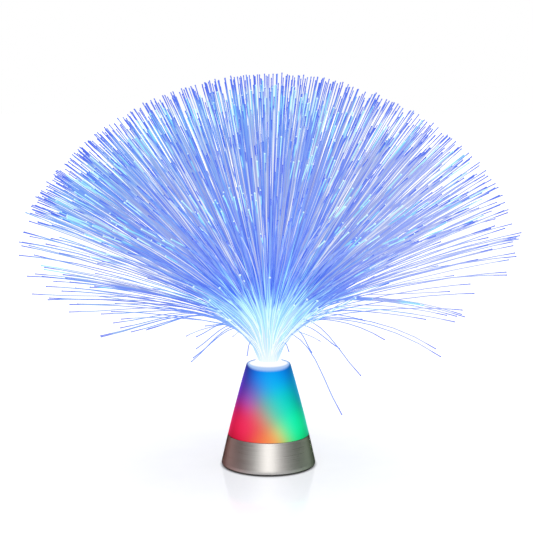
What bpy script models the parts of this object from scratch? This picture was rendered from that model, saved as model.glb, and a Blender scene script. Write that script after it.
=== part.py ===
"""Battery fiber optic lamp: a conical housing with a metal skirt and a frosted, lit diffuser,
and a spray of light fibers that plugs into the socket in its top.

Metres, +Z up. The origin is on the lamp's axis at the level of the table, and -Y is the front.
"""

import math

import bmesh
import bpy
from mathutils import Matrix, Vector

MM = 0.001

# Clearances that the pieces share
SEAT_GAP = 0.3 * MM
SLIDE_GAP = 0.4 * MM
OVERRUN = 1.0 * MM

# Housing outline: a taper from the table to the top face, with a slight outward bow
HOUSING_HEIGHT = 92.0 * MM
FLANK_TOP_RADIUS = 19.2 * MM
FLANK_BOW = 0.85 * MM
SEAM_HEIGHT = 27.8 * MM
BAY_TO_FLANK = 5.46 * MM

# Metal skirt
SKIRT_WALL = 1.6 * MM
SKIRT_LIFT = 1.0 * MM
SKIRT_EDGE_RADIUS = 1.5 * MM
SKIRT_TOP_CHAMFER = 0.4 * MM
LEDGE_WIDTH = 1.7 * MM
LEDGE_THICKNESS = 1.4 * MM

# Frosted diffuser
DIFFUSER_WALL = 2.0 * MM
DIFFUSER_TOP_WALL = 2.2 * MM
DIFFUSER_EDGE_RADIUS = 2.6 * MM
SPIGOT_DEPTH = 6.0 * MM

# Base pan
PAN_LIFT = 1.8 * MM
PAN_FLOOR = 1.8 * MM

# Screw joints between the pan and the diffuser
BOSS_RADIUS = 3.2 * MM
BOSS_ROOT = 0.1 * MM
BOSS_TOP_COVER = 2.0 * MM
CASE_SCREW_RADIUS = 1.3 * MM
CASE_SCREW_LENGTH = 12.0 * MM
CASE_SCREW_HEAD_RADIUS = 2.7 * MM
CASE_SCREW_HEAD_HEIGHT = 1.8 * MM
SCREW_CROWN_SHARE = 0.8
WELL_WALL = 0.9 * MM
WELL_GAP = 0.7 * MM
WELL_TO_POCKET = 2.0 * MM
WELL_SEAT_HEIGHT = 6.4 * MM
WELL_SEAT_THICKNESS = 1.6 * MM

# Cells
CELL_RADIUS = 7.1 * MM
CELL_LENGTH = 50.0 * MM
CELL_EDGE_RADIUS = 0.8 * MM
NUB_RADIUS = 2.7 * MM
NUB_HEIGHT = 1.2 * MM
CELL_SPACING = 0.4 * MM
CELL_COUNT = 3

# Battery contacts
PLATE_THICKNESS = 0.4 * MM
PLATE_WIDTH = 9.0 * MM
PLATE_HEIGHT = 10.0 * MM
TAB_WIDTH = 3.0 * MM
TAB_RISE = 1.2 * MM
SPRING_LENGTH = 2.8 * MM
SPRING_WIRE_RADIUS = 0.25 * MM
SPRING_SMALL_RADIUS = 1.8 * MM
SPRING_LARGE_RADIUS = 3.9 * MM
SPRING_TURNS = 3

# Battery bay and door
BAY_WALL = 1.2 * MM
DOOR_THICKNESS = 1.6 * MM
TONGUE_LENGTH = 2.2 * MM
TONGUE_WIDTH = 7.0 * MM
TONGUE_THICKNESS = 1.2 * MM
TONGUE_SPACING = 26.0 * MM
TONGUE_NOTCH = 2.6 * MM
TONGUE_SWING_ROOM = 2.0 * MM
LATCH_WIDTH = 12.0 * MM
LATCH_LENGTH = 7.0 * MM
LATCH_SLOT = 1.0 * MM
LATCH_RIDGE = 0.25 * MM
LATCH_RIDGE_HEIGHT = 0.7 * MM
DOOR_RIB_WIDTH = 1.0 * MM
DOOR_RIB_LENGTH = 20.0 * MM
DOOR_RIB_DEPTH = 0.4 * MM
DOOR_RIB_COUNT = 4
DOOR_RIB_PITCH = 3.0 * MM

# Feet
FOOT_RADIUS = 4.0 * MM
FOOT_TO_EDGE = 0.7 * MM
FOOT_POCKET = 0.6 * MM
FOOT_CHAMFER = 0.4 * MM
FOOT_COUNT = 4

# Slide switch
SWITCH_LENGTH = 11.6 * MM
SWITCH_WIDTH = 5.6 * MM
SWITCH_HEIGHT = 4.4 * MM
SWITCH_TRAVEL = 4.0 * MM
SWITCH_SLOT_DEPTH = 2.6 * MM
SWITCH_CORNER = 0.3 * MM
KNOB_LENGTH = 3.0 * MM
KNOB_WIDTH = 2.4 * MM
KNOB_LIFT = 0.9 * MM
KNOB_CHAMFER = 0.3 * MM
KNOB_GROOVE = 0.35 * MM
KNOB_GROOVE_PITCH = 0.9 * MM
KNOB_GROOVE_COUNT = 3
PIN_WIDTH = 0.8 * MM
PIN_THICKNESS = 0.4 * MM
PIN_HEIGHT = 2.0 * MM
PIN_PITCH = 3.0 * MM
PIN_COUNT = 3
POCKET_WALL = 1.0 * MM
POCKET_HEIGHT = 3.0 * MM

# Light board
BOARD_TO_BOSS = 0.7 * MM
BOARD_THICKNESS = 1.6 * MM
BOARD_POST_HEIGHT = 2.2 * MM
BOARD_POST_RADIUS = 2.6 * MM
BOARD_SCREW_PLACE_RADIUS = 20.0 * MM
BOARD_SCREW_ANGLE = math.radians(30)
BOARD_SCREW_RADIUS = 0.9 * MM
BOARD_SCREW_LENGTH = 4.0 * MM
BOARD_SCREW_HEAD_RADIUS = 2.2 * MM
BOARD_SCREW_HEAD_HEIGHT = 1.3 * MM

# Lights
LED_RADIUS = 2.5 * MM
LED_FLANGE_RADIUS = 2.9 * MM
LED_FLANGE_HEIGHT = 1.0 * MM
LED_HEIGHT = 8.6 * MM
LED_TO_SOCKET = 2.1 * MM
SPRAY_LED_RADIUS = 4.0 * MM
SPRAY_LED_FLANGE_RADIUS = 4.6 * MM
SPRAY_LED_FLANGE_HEIGHT = 1.4 * MM
SPRAY_LED_HEIGHT = 11.0 * MM
LED_ANGLES = {
    "led_red": math.radians(210),
    "led_green": math.radians(330),
    "led_blue": math.radians(90),
}

# Wires
WIRE_RADIUS = 0.55 * MM
WIRE_SPACING = 2.6 * MM

# Fiber bundle, its ferrule and the socket tube
BUNDLE_RADIUS = 8.7 * MM
FERRULE_WALL = 1.0 * MM
FERRULE_LIP = 1.4 * MM
FERRULE_FLANGE_OVERHANG = 0.6 * MM
FERRULE_FLANGE_THICKNESS = 1.4 * MM
FERRULE_EDGE = 0.5 * MM
BUNDLE_RECESS = 0.5 * MM
LIGHT_GAP = 1.5 * MM
SOCKET_WALL = 1.5 * MM
SOCKET_FLANGE_WIDTH = 2.2 * MM
SOCKET_FLANGE_THICKNESS = 1.4 * MM

# Light fibers
FIBER_LENGTH = 251.0 * MM
FIBER_RADIUS = 0.27 * MM
FIBER_ROOT_DEPTH = 1.5 * MM
FIBER_EDGE_MARGIN = 0.5 * MM
FIBER_RIM_MARGIN = 0.7 * MM
FIBERS_PER_TUFT = 16
FIBER_ROWS = 4
TUFT_RINGS = (1, 6, 12)
START_LEAN = math.radians(12)
DOME_ANGLE = math.radians(64)
DOME_TILT = math.radians(2)
LOW_SPREAD = math.radians(22)
SHOULDER_ANGLE = math.radians(64)
LOW_TRIM_SHARE = 2.1
BEND_SHARE = 0.135
BEND_POWER = 1.4
HANG_START_SHARE = 0.14
HANG_END_SHARE = 0.32
LENGTH_SCATTER_SHARE = 0.015
LEAN_SCATTER = math.radians(1.5)
SWING_SCATTER = math.radians(1.6)
STAGGER_SHARE = 0.25

# Points of a fiber above its root, as shares of its length
STATION_SHARES = (0.08, 0.22, 1.0)
RIM_STATION_SHARES = (0.06, 0.14, 0.27, 1.0)
STRAY_STATION_SHARES = (0.05, 0.12, 0.20, 0.32, 0.50, 0.74, 1.0)

# Strays, the single fibers that hang low at the sides. Each is the number of its tuft in the outer
# ring, its column in the tuft's outer row, the angle from upright that it ends at, and its length
# and its bend as shares of its own length
STRAYS = (
    (0, 0, math.radians(119), 0.34, 0.22),
    (0, 1, math.radians(112), 0.68, 0.18),
    (0, 3, math.radians(95), 0.84, 0.14),
    (1, 2, math.radians(100), 0.78, 0.14),
    (2, 1, math.radians(98), 0.74, 0.15),
    (4, 2, math.radians(101), 0.72, 0.15),
    (5, 1, math.radians(103), 0.76, 0.14),
    (5, 3, math.radians(93), 0.86, 0.14),
    (6, 1, math.radians(96), 0.84, 0.14),
    (6, 2, math.radians(99), 0.78, 0.15),
    (6, 3, math.radians(122), 0.36, 0.22),
    (7, 1, math.radians(116), 0.50, 0.16),
    (7, 2, math.radians(96), 0.80, 0.14),
    (10, 2, math.radians(146), 0.45, 0.20),
    (11, 1, math.radians(128), 0.48, 0.18),
    (11, 2, math.radians(97), 0.80, 0.14),
)

# How finely curved surfaces are faceted
HOUSING_STEPS = 44
TUBE_STEPS = 28
CELL_STEPS = 16
SMALL_STEPS = 12
FLANK_POINTS = 3
ARC_POINTS = 4
CURL_POINTS = 8
FINE_STEPS = 40
TINY = 0.01 * MM

# Heights and places that follow from the sizes
PAN_TOP = PAN_LIFT + PAN_FLOOR
DOOR_TOP = PAN_LIFT + DOOR_THICKNESS
CELL_AXIS = DOOR_TOP + SEAT_GAP + CELL_RADIUS
CELL_PITCH = 2 * CELL_RADIUS + CELL_SPACING
BAY_HALF_WIDTH = CELL_PITCH + CELL_RADIUS + SEAT_GAP
BAY_HALF_LENGTH = (CELL_LENGTH + SPRING_LENGTH) / 2 + PLATE_THICKNESS + 2.5 * SEAT_GAP
BAY_TOP = CELL_AXIS + CELL_RADIUS + SEAT_GAP + BAY_WALL
BAY_OUTER_LENGTH = BAY_HALF_LENGTH + BAY_WALL
BAY_OUTER_WIDTH = BAY_HALF_WIDTH + BAY_WALL
PLATE_PLACE = BAY_HALF_LENGTH - SEAT_GAP - PLATE_THICKNESS / 2
PLATE_INNER = PLATE_PLACE - PLATE_THICKNESS / 2
TAB_TOP = BAY_TOP + TAB_RISE
BOARD_BOTTOM = BAY_TOP + BOARD_POST_HEIGHT + SEAT_GAP
BOARD_TOP = BOARD_BOTTOM + BOARD_THICKNESS
SPIGOT_BOTTOM = SEAM_HEIGHT - SPIGOT_DEPTH
WELL_RADIUS = CASE_SCREW_HEAD_RADIUS + SEAT_GAP + WELL_WALL
WELL_TOP = WELL_SEAT_HEIGHT + WELL_SEAT_THICKNESS
FERRULE_BORE = BUNDLE_RADIUS + SEAT_GAP
FERRULE_RADIUS = FERRULE_BORE + FERRULE_WALL
SOCKET_BORE = FERRULE_RADIUS + SEAT_GAP
SOCKET_RADIUS = SOCKET_BORE + SOCKET_WALL
SOCKET_FLANGE_RADIUS = SOCKET_RADIUS + SOCKET_FLANGE_WIDTH
FERRULE_FLANGE_RADIUS = SOCKET_RADIUS + FERRULE_FLANGE_OVERHANG
LED_CIRCLE_RADIUS = SOCKET_FLANGE_RADIUS + LED_TO_SOCKET + LED_FLANGE_RADIUS
FERRULE_BOTTOM = BOARD_TOP + SEAT_GAP + SPRAY_LED_HEIGHT + LIGHT_GAP
FERRULE_TOP = HOUSING_HEIGHT + SEAT_GAP + FERRULE_FLANGE_THICKNESS
BUNDLE_BOTTOM = FERRULE_BOTTOM + FERRULE_LIP + SEAT_GAP
BUNDLE_TOP = FERRULE_TOP - BUNDLE_RECESS
SWITCH_BOTTOM = PAN_TOP + SEAT_GAP
SWITCH_TOP = SWITCH_BOTTOM + SWITCH_HEIGHT
POCKET_HALF_LENGTH = SWITCH_LENGTH / 2 + SEAT_GAP + POCKET_WALL
POCKET_HALF_WIDTH = SWITCH_WIDTH / 2 + SEAT_GAP + POCKET_WALL
SWITCH_PLACE_RADIUS = BAY_OUTER_WIDTH + SEAT_GAP + POCKET_HALF_WIDTH

# The foot of the flank: as wide as the bay's corners need, or as the screw bosses between the bay and
# the switch's pocket need where they stand on the diffuser's spigot
BOSS_NEAREST_X = POCKET_HALF_LENGTH + WELL_TO_POCKET + WELL_RADIUS
BOSS_NEAREST_Y = BAY_OUTER_WIDTH + WELL_GAP + WELL_RADIUS
BOSS_ANGLE = math.atan2(BOSS_NEAREST_Y, BOSS_NEAREST_X)
SPIGOT_INSET = SKIRT_WALL + SEAT_GAP
BOSS_INSET = SPIGOT_INSET + BOSS_RADIUS + BOSS_ROOT
SEAM_RISE_SHARE = SEAM_HEIGHT / HOUSING_HEIGHT
SEAM_BOW = 4 * FLANK_BOW * SEAM_RISE_SHARE * (1 - SEAM_RISE_SHARE)
SEAM_RADIUS_FOR_BOSSES = math.hypot(BOSS_NEAREST_X, BOSS_NEAREST_Y) + BOSS_INSET
BASE_RADIUS_FOR_BOSSES = (
    (SEAM_RADIUS_FOR_BOSSES - SEAM_BOW - FLANK_TOP_RADIUS * SEAM_RISE_SHARE) / (1 - SEAM_RISE_SHARE))
BASE_RADIUS_FOR_BAY = math.hypot(BAY_OUTER_LENGTH, BAY_OUTER_WIDTH) + BAY_TO_FLANK
FLANK_BASE_RADIUS = max(BASE_RADIUS_FOR_BAY, BASE_RADIUS_FOR_BOSSES)


def flank_radius(height):
    """Outside radius of the housing at a height."""
    rise = height / HOUSING_HEIGHT
    straight = FLANK_BASE_RADIUS + (FLANK_TOP_RADIUS - FLANK_BASE_RADIUS) * rise
    return straight + 4 * FLANK_BOW * rise * (1 - rise)


# Places that follow from the flank
FLOOR_RADIUS = flank_radius(PAN_TOP) - SKIRT_WALL - SEAT_GAP
FOOT_CIRCLE_RADIUS = FLOOR_RADIUS - FOOT_TO_EDGE - FOOT_RADIUS
SPIGOT_RADIUS = flank_radius(SEAM_HEIGHT) - SPIGOT_INSET
BOSS_CIRCLE_RADIUS = flank_radius(SEAM_HEIGHT) - BOSS_INSET
BOARD_RADIUS = BOSS_CIRCLE_RADIUS - BOSS_RADIUS - BOARD_TO_BOSS
BOSS_PLACES = [
    (sx * BOSS_CIRCLE_RADIUS * math.cos(BOSS_ANGLE), sy * BOSS_CIRCLE_RADIUS * math.sin(BOSS_ANGLE))
    for sx in (-1, 1)
    for sy in (-1, 1)
]
BOARD_SCREW_PLACES = [
    (s * BOARD_SCREW_PLACE_RADIUS * math.cos(BOARD_SCREW_ANGLE),
     BOARD_SCREW_PLACE_RADIUS * math.sin(BOARD_SCREW_ANGLE))
    for s in (-1, 1)
]


def clear_scene():
    for old in list(bpy.data.objects):
        bpy.data.objects.remove(old, do_unlink=True)


def new_collection(name):
    made = bpy.data.collections.new(name)
    bpy.context.scene.collection.children.link(made)
    return made


def new_material(name, color, roughness, metallic=0.0, emission=0.0):
    made = bpy.data.materials.new(name)
    made.use_nodes = True
    shader = made.node_tree.nodes["Principled BSDF"]
    shader.inputs["Base Color"].default_value = (*color, 1)
    shader.inputs["Roughness"].default_value = roughness
    shader.inputs["Metallic"].default_value = metallic
    shader.inputs["Emission Color"].default_value = (*color, 1)
    shader.inputs["Emission Strength"].default_value = emission
    made.diffuse_color = (*color, 1)
    return made


clear_scene()
LAMP = new_collection("fiber_optic_lamp")
TOOLS = new_collection("cutters")

BRUSHED = new_material("brushed_metal", (0.62, 0.60, 0.57), 0.32, 1.0)
FROSTED = new_material("frosted_diffuser", (0.55, 0.70, 0.95), 0.45, emission=0.4)
CLEAR = new_material("clear_plastic", (0.90, 0.95, 1.0), 0.15, emission=0.3)
PAN_PLASTIC = new_material("pan_plastic", (0.20, 0.20, 0.21), 0.55)
RUBBER = new_material("rubber", (0.05, 0.05, 0.05), 0.85)
STEEL = new_material("screw_steel", (0.60, 0.60, 0.62), 0.30, 1.0)
SPRING_STEEL = new_material("contact_steel", (0.75, 0.75, 0.76), 0.25, 1.0)
BOARD_GREEN = new_material("board_green", (0.05, 0.25, 0.12), 0.45)
SWITCH_METAL = new_material("switch_metal", (0.65, 0.65, 0.67), 0.30, 1.0)
KNOB_PLASTIC = new_material("knob_plastic", (0.06, 0.06, 0.06), 0.50)
CELL_JACKET = new_material("cell_jacket", (0.13, 0.17, 0.24), 0.35)
FIBER_LIGHT = new_material("light_fiber", (0.36, 0.45, 1.0), 0.20, emission=0.6)
RED_LENS = new_material("red_lens", (0.95, 0.08, 0.10), 0.15, emission=0.8)
GREEN_LENS = new_material("green_lens", (0.05, 0.85, 0.35), 0.15, emission=0.8)
BLUE_LENS = new_material("blue_lens", (0.10, 0.25, 0.95), 0.15, emission=0.8)
WHITE_LENS = new_material("white_lens", (0.80, 0.95, 1.0), 0.15, emission=0.8)
RED_WIRE = new_material("red_wire", (0.70, 0.05, 0.05), 0.45)
BLACK_WIRE = new_material("black_wire", (0.03, 0.03, 0.03), 0.45)
WHITE_WIRE = new_material("white_wire", (0.85, 0.85, 0.83), 0.45)


def place(obj, material, collection=None):
    """Links a piece to the lamp, or to the collection given, and gives it its material."""
    (collection or LAMP).objects.link(obj)
    if material:
        obj.data.materials.append(material)
    return obj


def tool(obj):
    """Makes an object a helper that shapes others and isn't part of the lamp."""
    TOOLS.objects.link(obj)
    obj.hide_render = True
    obj.display_type = "WIRE"
    return obj


def set_origin(obj, at):
    """Moves the object's origin to a point and leaves its shape where it is."""
    obj.data.transform(Matrix.Translation(-Vector(at)))
    obj.location = at


def smooth(obj, angle=math.radians(35)):
    obj.data.shade_smooth()
    obj.data.set_sharp_from_angle(angle=angle)
    return obj


def boolean(obj, other, operation):
    step = obj.modifiers.new(other.name, "BOOLEAN")
    step.operation = operation
    step.object = other
    return obj


def cut(obj, *cutters):
    for cutter in cutters:
        boolean(obj, cutter, "DIFFERENCE")
    return obj


def join(obj, *others):
    for other in others:
        boolean(obj, other, "UNION")
    return obj


def chamfer(obj, width):
    step = obj.modifiers.new("edges", "BEVEL")
    step.width = width
    step.segments = 1
    step.limit_method = "ANGLE"
    return obj


def box(name, low, high):
    """A box between two corners."""
    shape = bmesh.new()
    bmesh.ops.create_cube(shape, size=1)
    size = Vector(high) - Vector(low)
    centre = (Vector(high) + Vector(low)) / 2
    shape.transform(Matrix.Translation(centre) @ Matrix.Diagonal((*size, 1)))
    mesh = bpy.data.meshes.new(name)
    shape.to_mesh(mesh)
    shape.free()
    return bpy.data.objects.new(name, mesh)


def centred_box(name, centre, size):
    half = Vector(size) / 2
    return box(name, Vector(centre) - half, Vector(centre) + half)


def cylinder(name, radius, bottom, top, at=(0, 0), steps=SMALL_STEPS):
    """An upright cylinder between two heights."""
    shape = bmesh.new()
    bmesh.ops.create_cone(
        shape, cap_ends=True, segments=steps, radius1=radius, radius2=radius, depth=top - bottom)
    shape.transform(Matrix.Translation((*at, (top + bottom) / 2)))
    mesh = bpy.data.meshes.new(name)
    shape.to_mesh(mesh)
    shape.free()
    return bpy.data.objects.new(name, mesh)


def turned(name, profile, steps, closed=True):
    """Turns a profile of (radius, height) points round Z. It runs down the outside first.
    A closed profile makes a ring, and an open one starts and ends on the axis."""
    mesh = bpy.data.meshes.new(name)
    points = [(radius, 0, height) for radius, height in profile]
    edges = [(i, i + 1) for i in range(len(points) - 1)]
    if closed:
        edges.append((len(points) - 1, 0))
    mesh.from_pydata(points, edges, [])
    obj = bpy.data.objects.new(name, mesh)
    screw = obj.modifiers.new("turn", "SCREW")
    screw.steps = steps
    screw.render_steps = steps
    screw.use_merge_vertices = True
    screw.merge_threshold = TINY
    return obj


def arc(centre, radius, start, end, points=ARC_POINTS):
    """Points of an arc in the plane of a profile, from one angle to another."""
    steps = [start + (end - start) * i / (points - 1) for i in range(points)]
    return [(centre[0] + radius * math.cos(a), centre[1] + radius * math.sin(a)) for a in steps]


def outline(name, points, half_thickness):
    """A flat outline in the XY plane, thickened to both sides."""
    curve = bpy.data.curves.new(name, "CURVE")
    curve.dimensions = "2D"
    curve.fill_mode = "BOTH"
    curve.extrude = half_thickness
    line = curve.splines.new("POLY")
    line.points.add(len(points) - 1)
    for spot, (x, y) in zip(line.points, points):
        spot.co = (x, y, 0, 1)
    line.use_cyclic_u = True
    return bpy.data.objects.new(name, curve)


def tube(name, routes, radius, section=None):
    """A tube along each route of points, with closed ends."""
    curve = bpy.data.curves.new(name, "CURVE")
    curve.dimensions = "3D"
    curve.use_fill_caps = True
    if section:
        curve.bevel_mode = "OBJECT"
        curve.bevel_object = section
    else:
        curve.bevel_depth = radius
        curve.bevel_resolution = 1
    for route in routes:
        line = curve.splines.new("POLY")
        line.points.add(len(route) - 1)
        for spot, point in zip(line.points, route):
            spot.co = (*point, 1)
    return bpy.data.objects.new(name, curve)


def as_mesh(curve_object, placing=None):
    """The curve object's evaluated surface as a mesh object of the same name, with its caps welded."""
    name = curve_object.name
    TOOLS.objects.link(curve_object)
    bpy.context.view_layer.update()
    evaluated = curve_object.evaluated_get(bpy.context.evaluated_depsgraph_get())
    mesh = bpy.data.meshes.new_from_object(evaluated)
    shape = bmesh.new()
    shape.from_mesh(mesh)
    bmesh.ops.remove_doubles(shape, verts=shape.verts, dist=TINY)
    bmesh.ops.recalc_face_normals(shape, faces=shape.faces)
    shape.to_mesh(mesh)
    shape.free()
    mesh.transform(curve_object.matrix_world)
    if placing:
        mesh.transform(placing)
    bpy.data.objects.remove(curve_object)
    return bpy.data.objects.new(name, mesh)


def flank_tilt():
    """How far the flank leans in from upright, as an angle."""
    return math.atan2(FLANK_BASE_RADIUS - FLANK_TOP_RADIUS, HOUSING_HEIGHT)


def heights_between(high, low, points):
    return [high + (low - high) * i / (points - 1) for i in range(points)]


def make_skirt():
    """The metal skirt: a tapered shell with a rolled lower edge and, inside, the ledge the pan bears on."""
    edge_height = SKIRT_LIFT + SKIRT_EDGE_RADIUS
    edge_centre = flank_radius(edge_height) - SKIRT_EDGE_RADIUS
    outside = [(flank_radius(SEAM_HEIGHT) - SKIRT_TOP_CHAMFER, SEAM_HEIGHT)]
    outside += [(flank_radius(z), z)
                for z in heights_between(SEAM_HEIGHT - SKIRT_TOP_CHAMFER, edge_height, FLANK_POINTS)]
    outside += arc((edge_centre, edge_height), SKIRT_EDGE_RADIUS, 0, -math.pi / 2)[1:]
    ledge_bottom = PAN_TOP + SEAT_GAP
    ledge_top = ledge_bottom + LEDGE_THICKNESS
    bore = flank_radius(ledge_bottom) - SKIRT_WALL
    inside = [
        (flank_radius(ledge_bottom) - SKIRT_WALL, SKIRT_LIFT),
        (bore, ledge_bottom),
        (bore - LEDGE_WIDTH, ledge_bottom),
        (bore - LEDGE_WIDTH, ledge_top),
    ]
    inside += [(flank_radius(z) - SKIRT_WALL, z)
               for z in heights_between(ledge_top, SEAM_HEIGHT, FLANK_POINTS)]
    skirt = turned("base_skirt", outside + inside, HOUSING_STEPS)
    return smooth(place(skirt, BRUSHED))


def make_diffuser():
    """The frosted cone: a shell that stands on the skirt, with a spigot and four screw bosses
    hidden behind it and a hole in the top face for the socket tube."""
    tilt = flank_tilt()
    edge_height = HOUSING_HEIGHT - DIFFUSER_EDGE_RADIUS
    edge_end = edge_height + DIFFUSER_EDGE_RADIUS * math.sin(tilt)
    edge_centre = flank_radius(edge_end) - DIFFUSER_EDGE_RADIUS * math.cos(tilt)
    shoulder = SEAM_HEIGHT + SEAT_GAP
    spigot_bore = SPIGOT_RADIUS - DIFFUSER_WALL
    hole = SOCKET_RADIUS + SEAT_GAP
    underside = HOUSING_HEIGHT - DIFFUSER_TOP_WALL
    outside = arc((edge_centre, edge_height), DIFFUSER_EDGE_RADIUS, math.pi / 2, tilt, ARC_POINTS + 1)
    outside += [(flank_radius(z), z) for z in heights_between(edge_end, shoulder, FLANK_POINTS + 2)[1:]]
    outside += [(SPIGOT_RADIUS, shoulder), (SPIGOT_RADIUS, SPIGOT_BOTTOM)]
    inside = [(spigot_bore, SPIGOT_BOTTOM)]
    inside += [(min(spigot_bore, flank_radius(z) - DIFFUSER_WALL), z)
               for z in heights_between(shoulder + DIFFUSER_WALL, underside, FLANK_POINTS)]
    inside += [(hole, underside), (hole, HOUSING_HEIGHT)]
    cone = turned("diffuser_cone", outside + inside, HOUSING_STEPS)
    boss_bottom = WELL_TOP + SEAT_GAP
    for n, spot in enumerate(BOSS_PLACES):
        boss = cylinder(f"boss_{n}", BOSS_RADIUS, boss_bottom, SEAM_HEIGHT - BOSS_TOP_COVER, spot)
        join(cone, tool(boss))
    pilot_top = WELL_SEAT_HEIGHT - SEAT_GAP + CASE_SCREW_LENGTH + SEAT_GAP
    for n, spot in enumerate(BOSS_PLACES):
        pilot = cylinder(
            f"pilot_{n}", CASE_SCREW_RADIUS + SEAT_GAP, boss_bottom - OVERRUN, pilot_top + SEAT_GAP, spot)
        cut(cone, tool(pilot))
    return smooth(place(cone, FROSTED))


def make_socket():
    """The tube that holds the ferrule over its light, from the board up through the cone's top."""
    bottom = BOARD_TOP + SEAT_GAP
    collar_top = HOUSING_HEIGHT - DIFFUSER_TOP_WALL - SEAT_GAP
    collar_bottom = collar_top - SOCKET_FLANGE_THICKNESS
    profile = [
        (SOCKET_RADIUS, HOUSING_HEIGHT),
        (SOCKET_RADIUS, collar_top),
        (SOCKET_FLANGE_RADIUS, collar_top),
        (SOCKET_FLANGE_RADIUS, collar_bottom),
        (SOCKET_RADIUS, collar_bottom),
        (SOCKET_RADIUS, bottom + SOCKET_FLANGE_THICKNESS),
        (SOCKET_FLANGE_RADIUS, bottom + SOCKET_FLANGE_THICKNESS),
        (SOCKET_FLANGE_RADIUS, bottom),
        (SOCKET_BORE, bottom),
        (SOCKET_BORE, HOUSING_HEIGHT),
    ]
    return smooth(place(turned("socket_tube", profile, TUBE_STEPS), CLEAR))


def make_ferrule():
    """The sleeve that holds the fiber bundle, with a lip under it and a flange that rests on the socket."""
    seat = HOUSING_HEIGHT + SEAT_GAP
    profile = [
        (FERRULE_FLANGE_RADIUS - FERRULE_EDGE, FERRULE_TOP),
        (FERRULE_FLANGE_RADIUS, FERRULE_TOP - FERRULE_EDGE),
        (FERRULE_FLANGE_RADIUS, seat),
        (FERRULE_RADIUS, seat),
        (FERRULE_RADIUS, FERRULE_BOTTOM + FERRULE_EDGE),
        (FERRULE_RADIUS - FERRULE_EDGE, FERRULE_BOTTOM),
        (FERRULE_BORE - FERRULE_LIP, FERRULE_BOTTOM),
        (FERRULE_BORE - FERRULE_LIP, FERRULE_BOTTOM + FERRULE_LIP),
        (FERRULE_BORE, FERRULE_BOTTOM + FERRULE_LIP),
        (FERRULE_BORE, FERRULE_TOP),
    ]
    return smooth(place(turned("bundle_ferrule", profile, TUBE_STEPS), CLEAR))


def tray_outline(margin):
    """The top of the battery bay's section across the cells, this far outside them. It follows the
    outer cells over the top."""
    reach = CELL_RADIUS + margin
    over_left = arc((-CELL_PITCH, CELL_AXIS), reach, math.pi, math.pi / 2)
    over_right = arc((CELL_PITCH, CELL_AXIS), reach, math.pi / 2, 0)
    return over_left + over_right


def tray(name, margin, half_length, bottom):
    """A solid of the bay's section along X, with upright sides up to the outer cells' axes."""
    section = tray_outline(margin)
    side = CELL_PITCH + CELL_RADIUS + margin
    points = [(-side, bottom)] + section + [(side, bottom)]
    # The outline's plane is XY, so its X becomes Y and its Y becomes Z.
    laid = Matrix(((0, 0, 1, 0), (1, 0, 0, 0), (0, 1, 0, 0), (0, 0, 0, 1)))
    return as_mesh(outline(name, points, half_length), laid)


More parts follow.
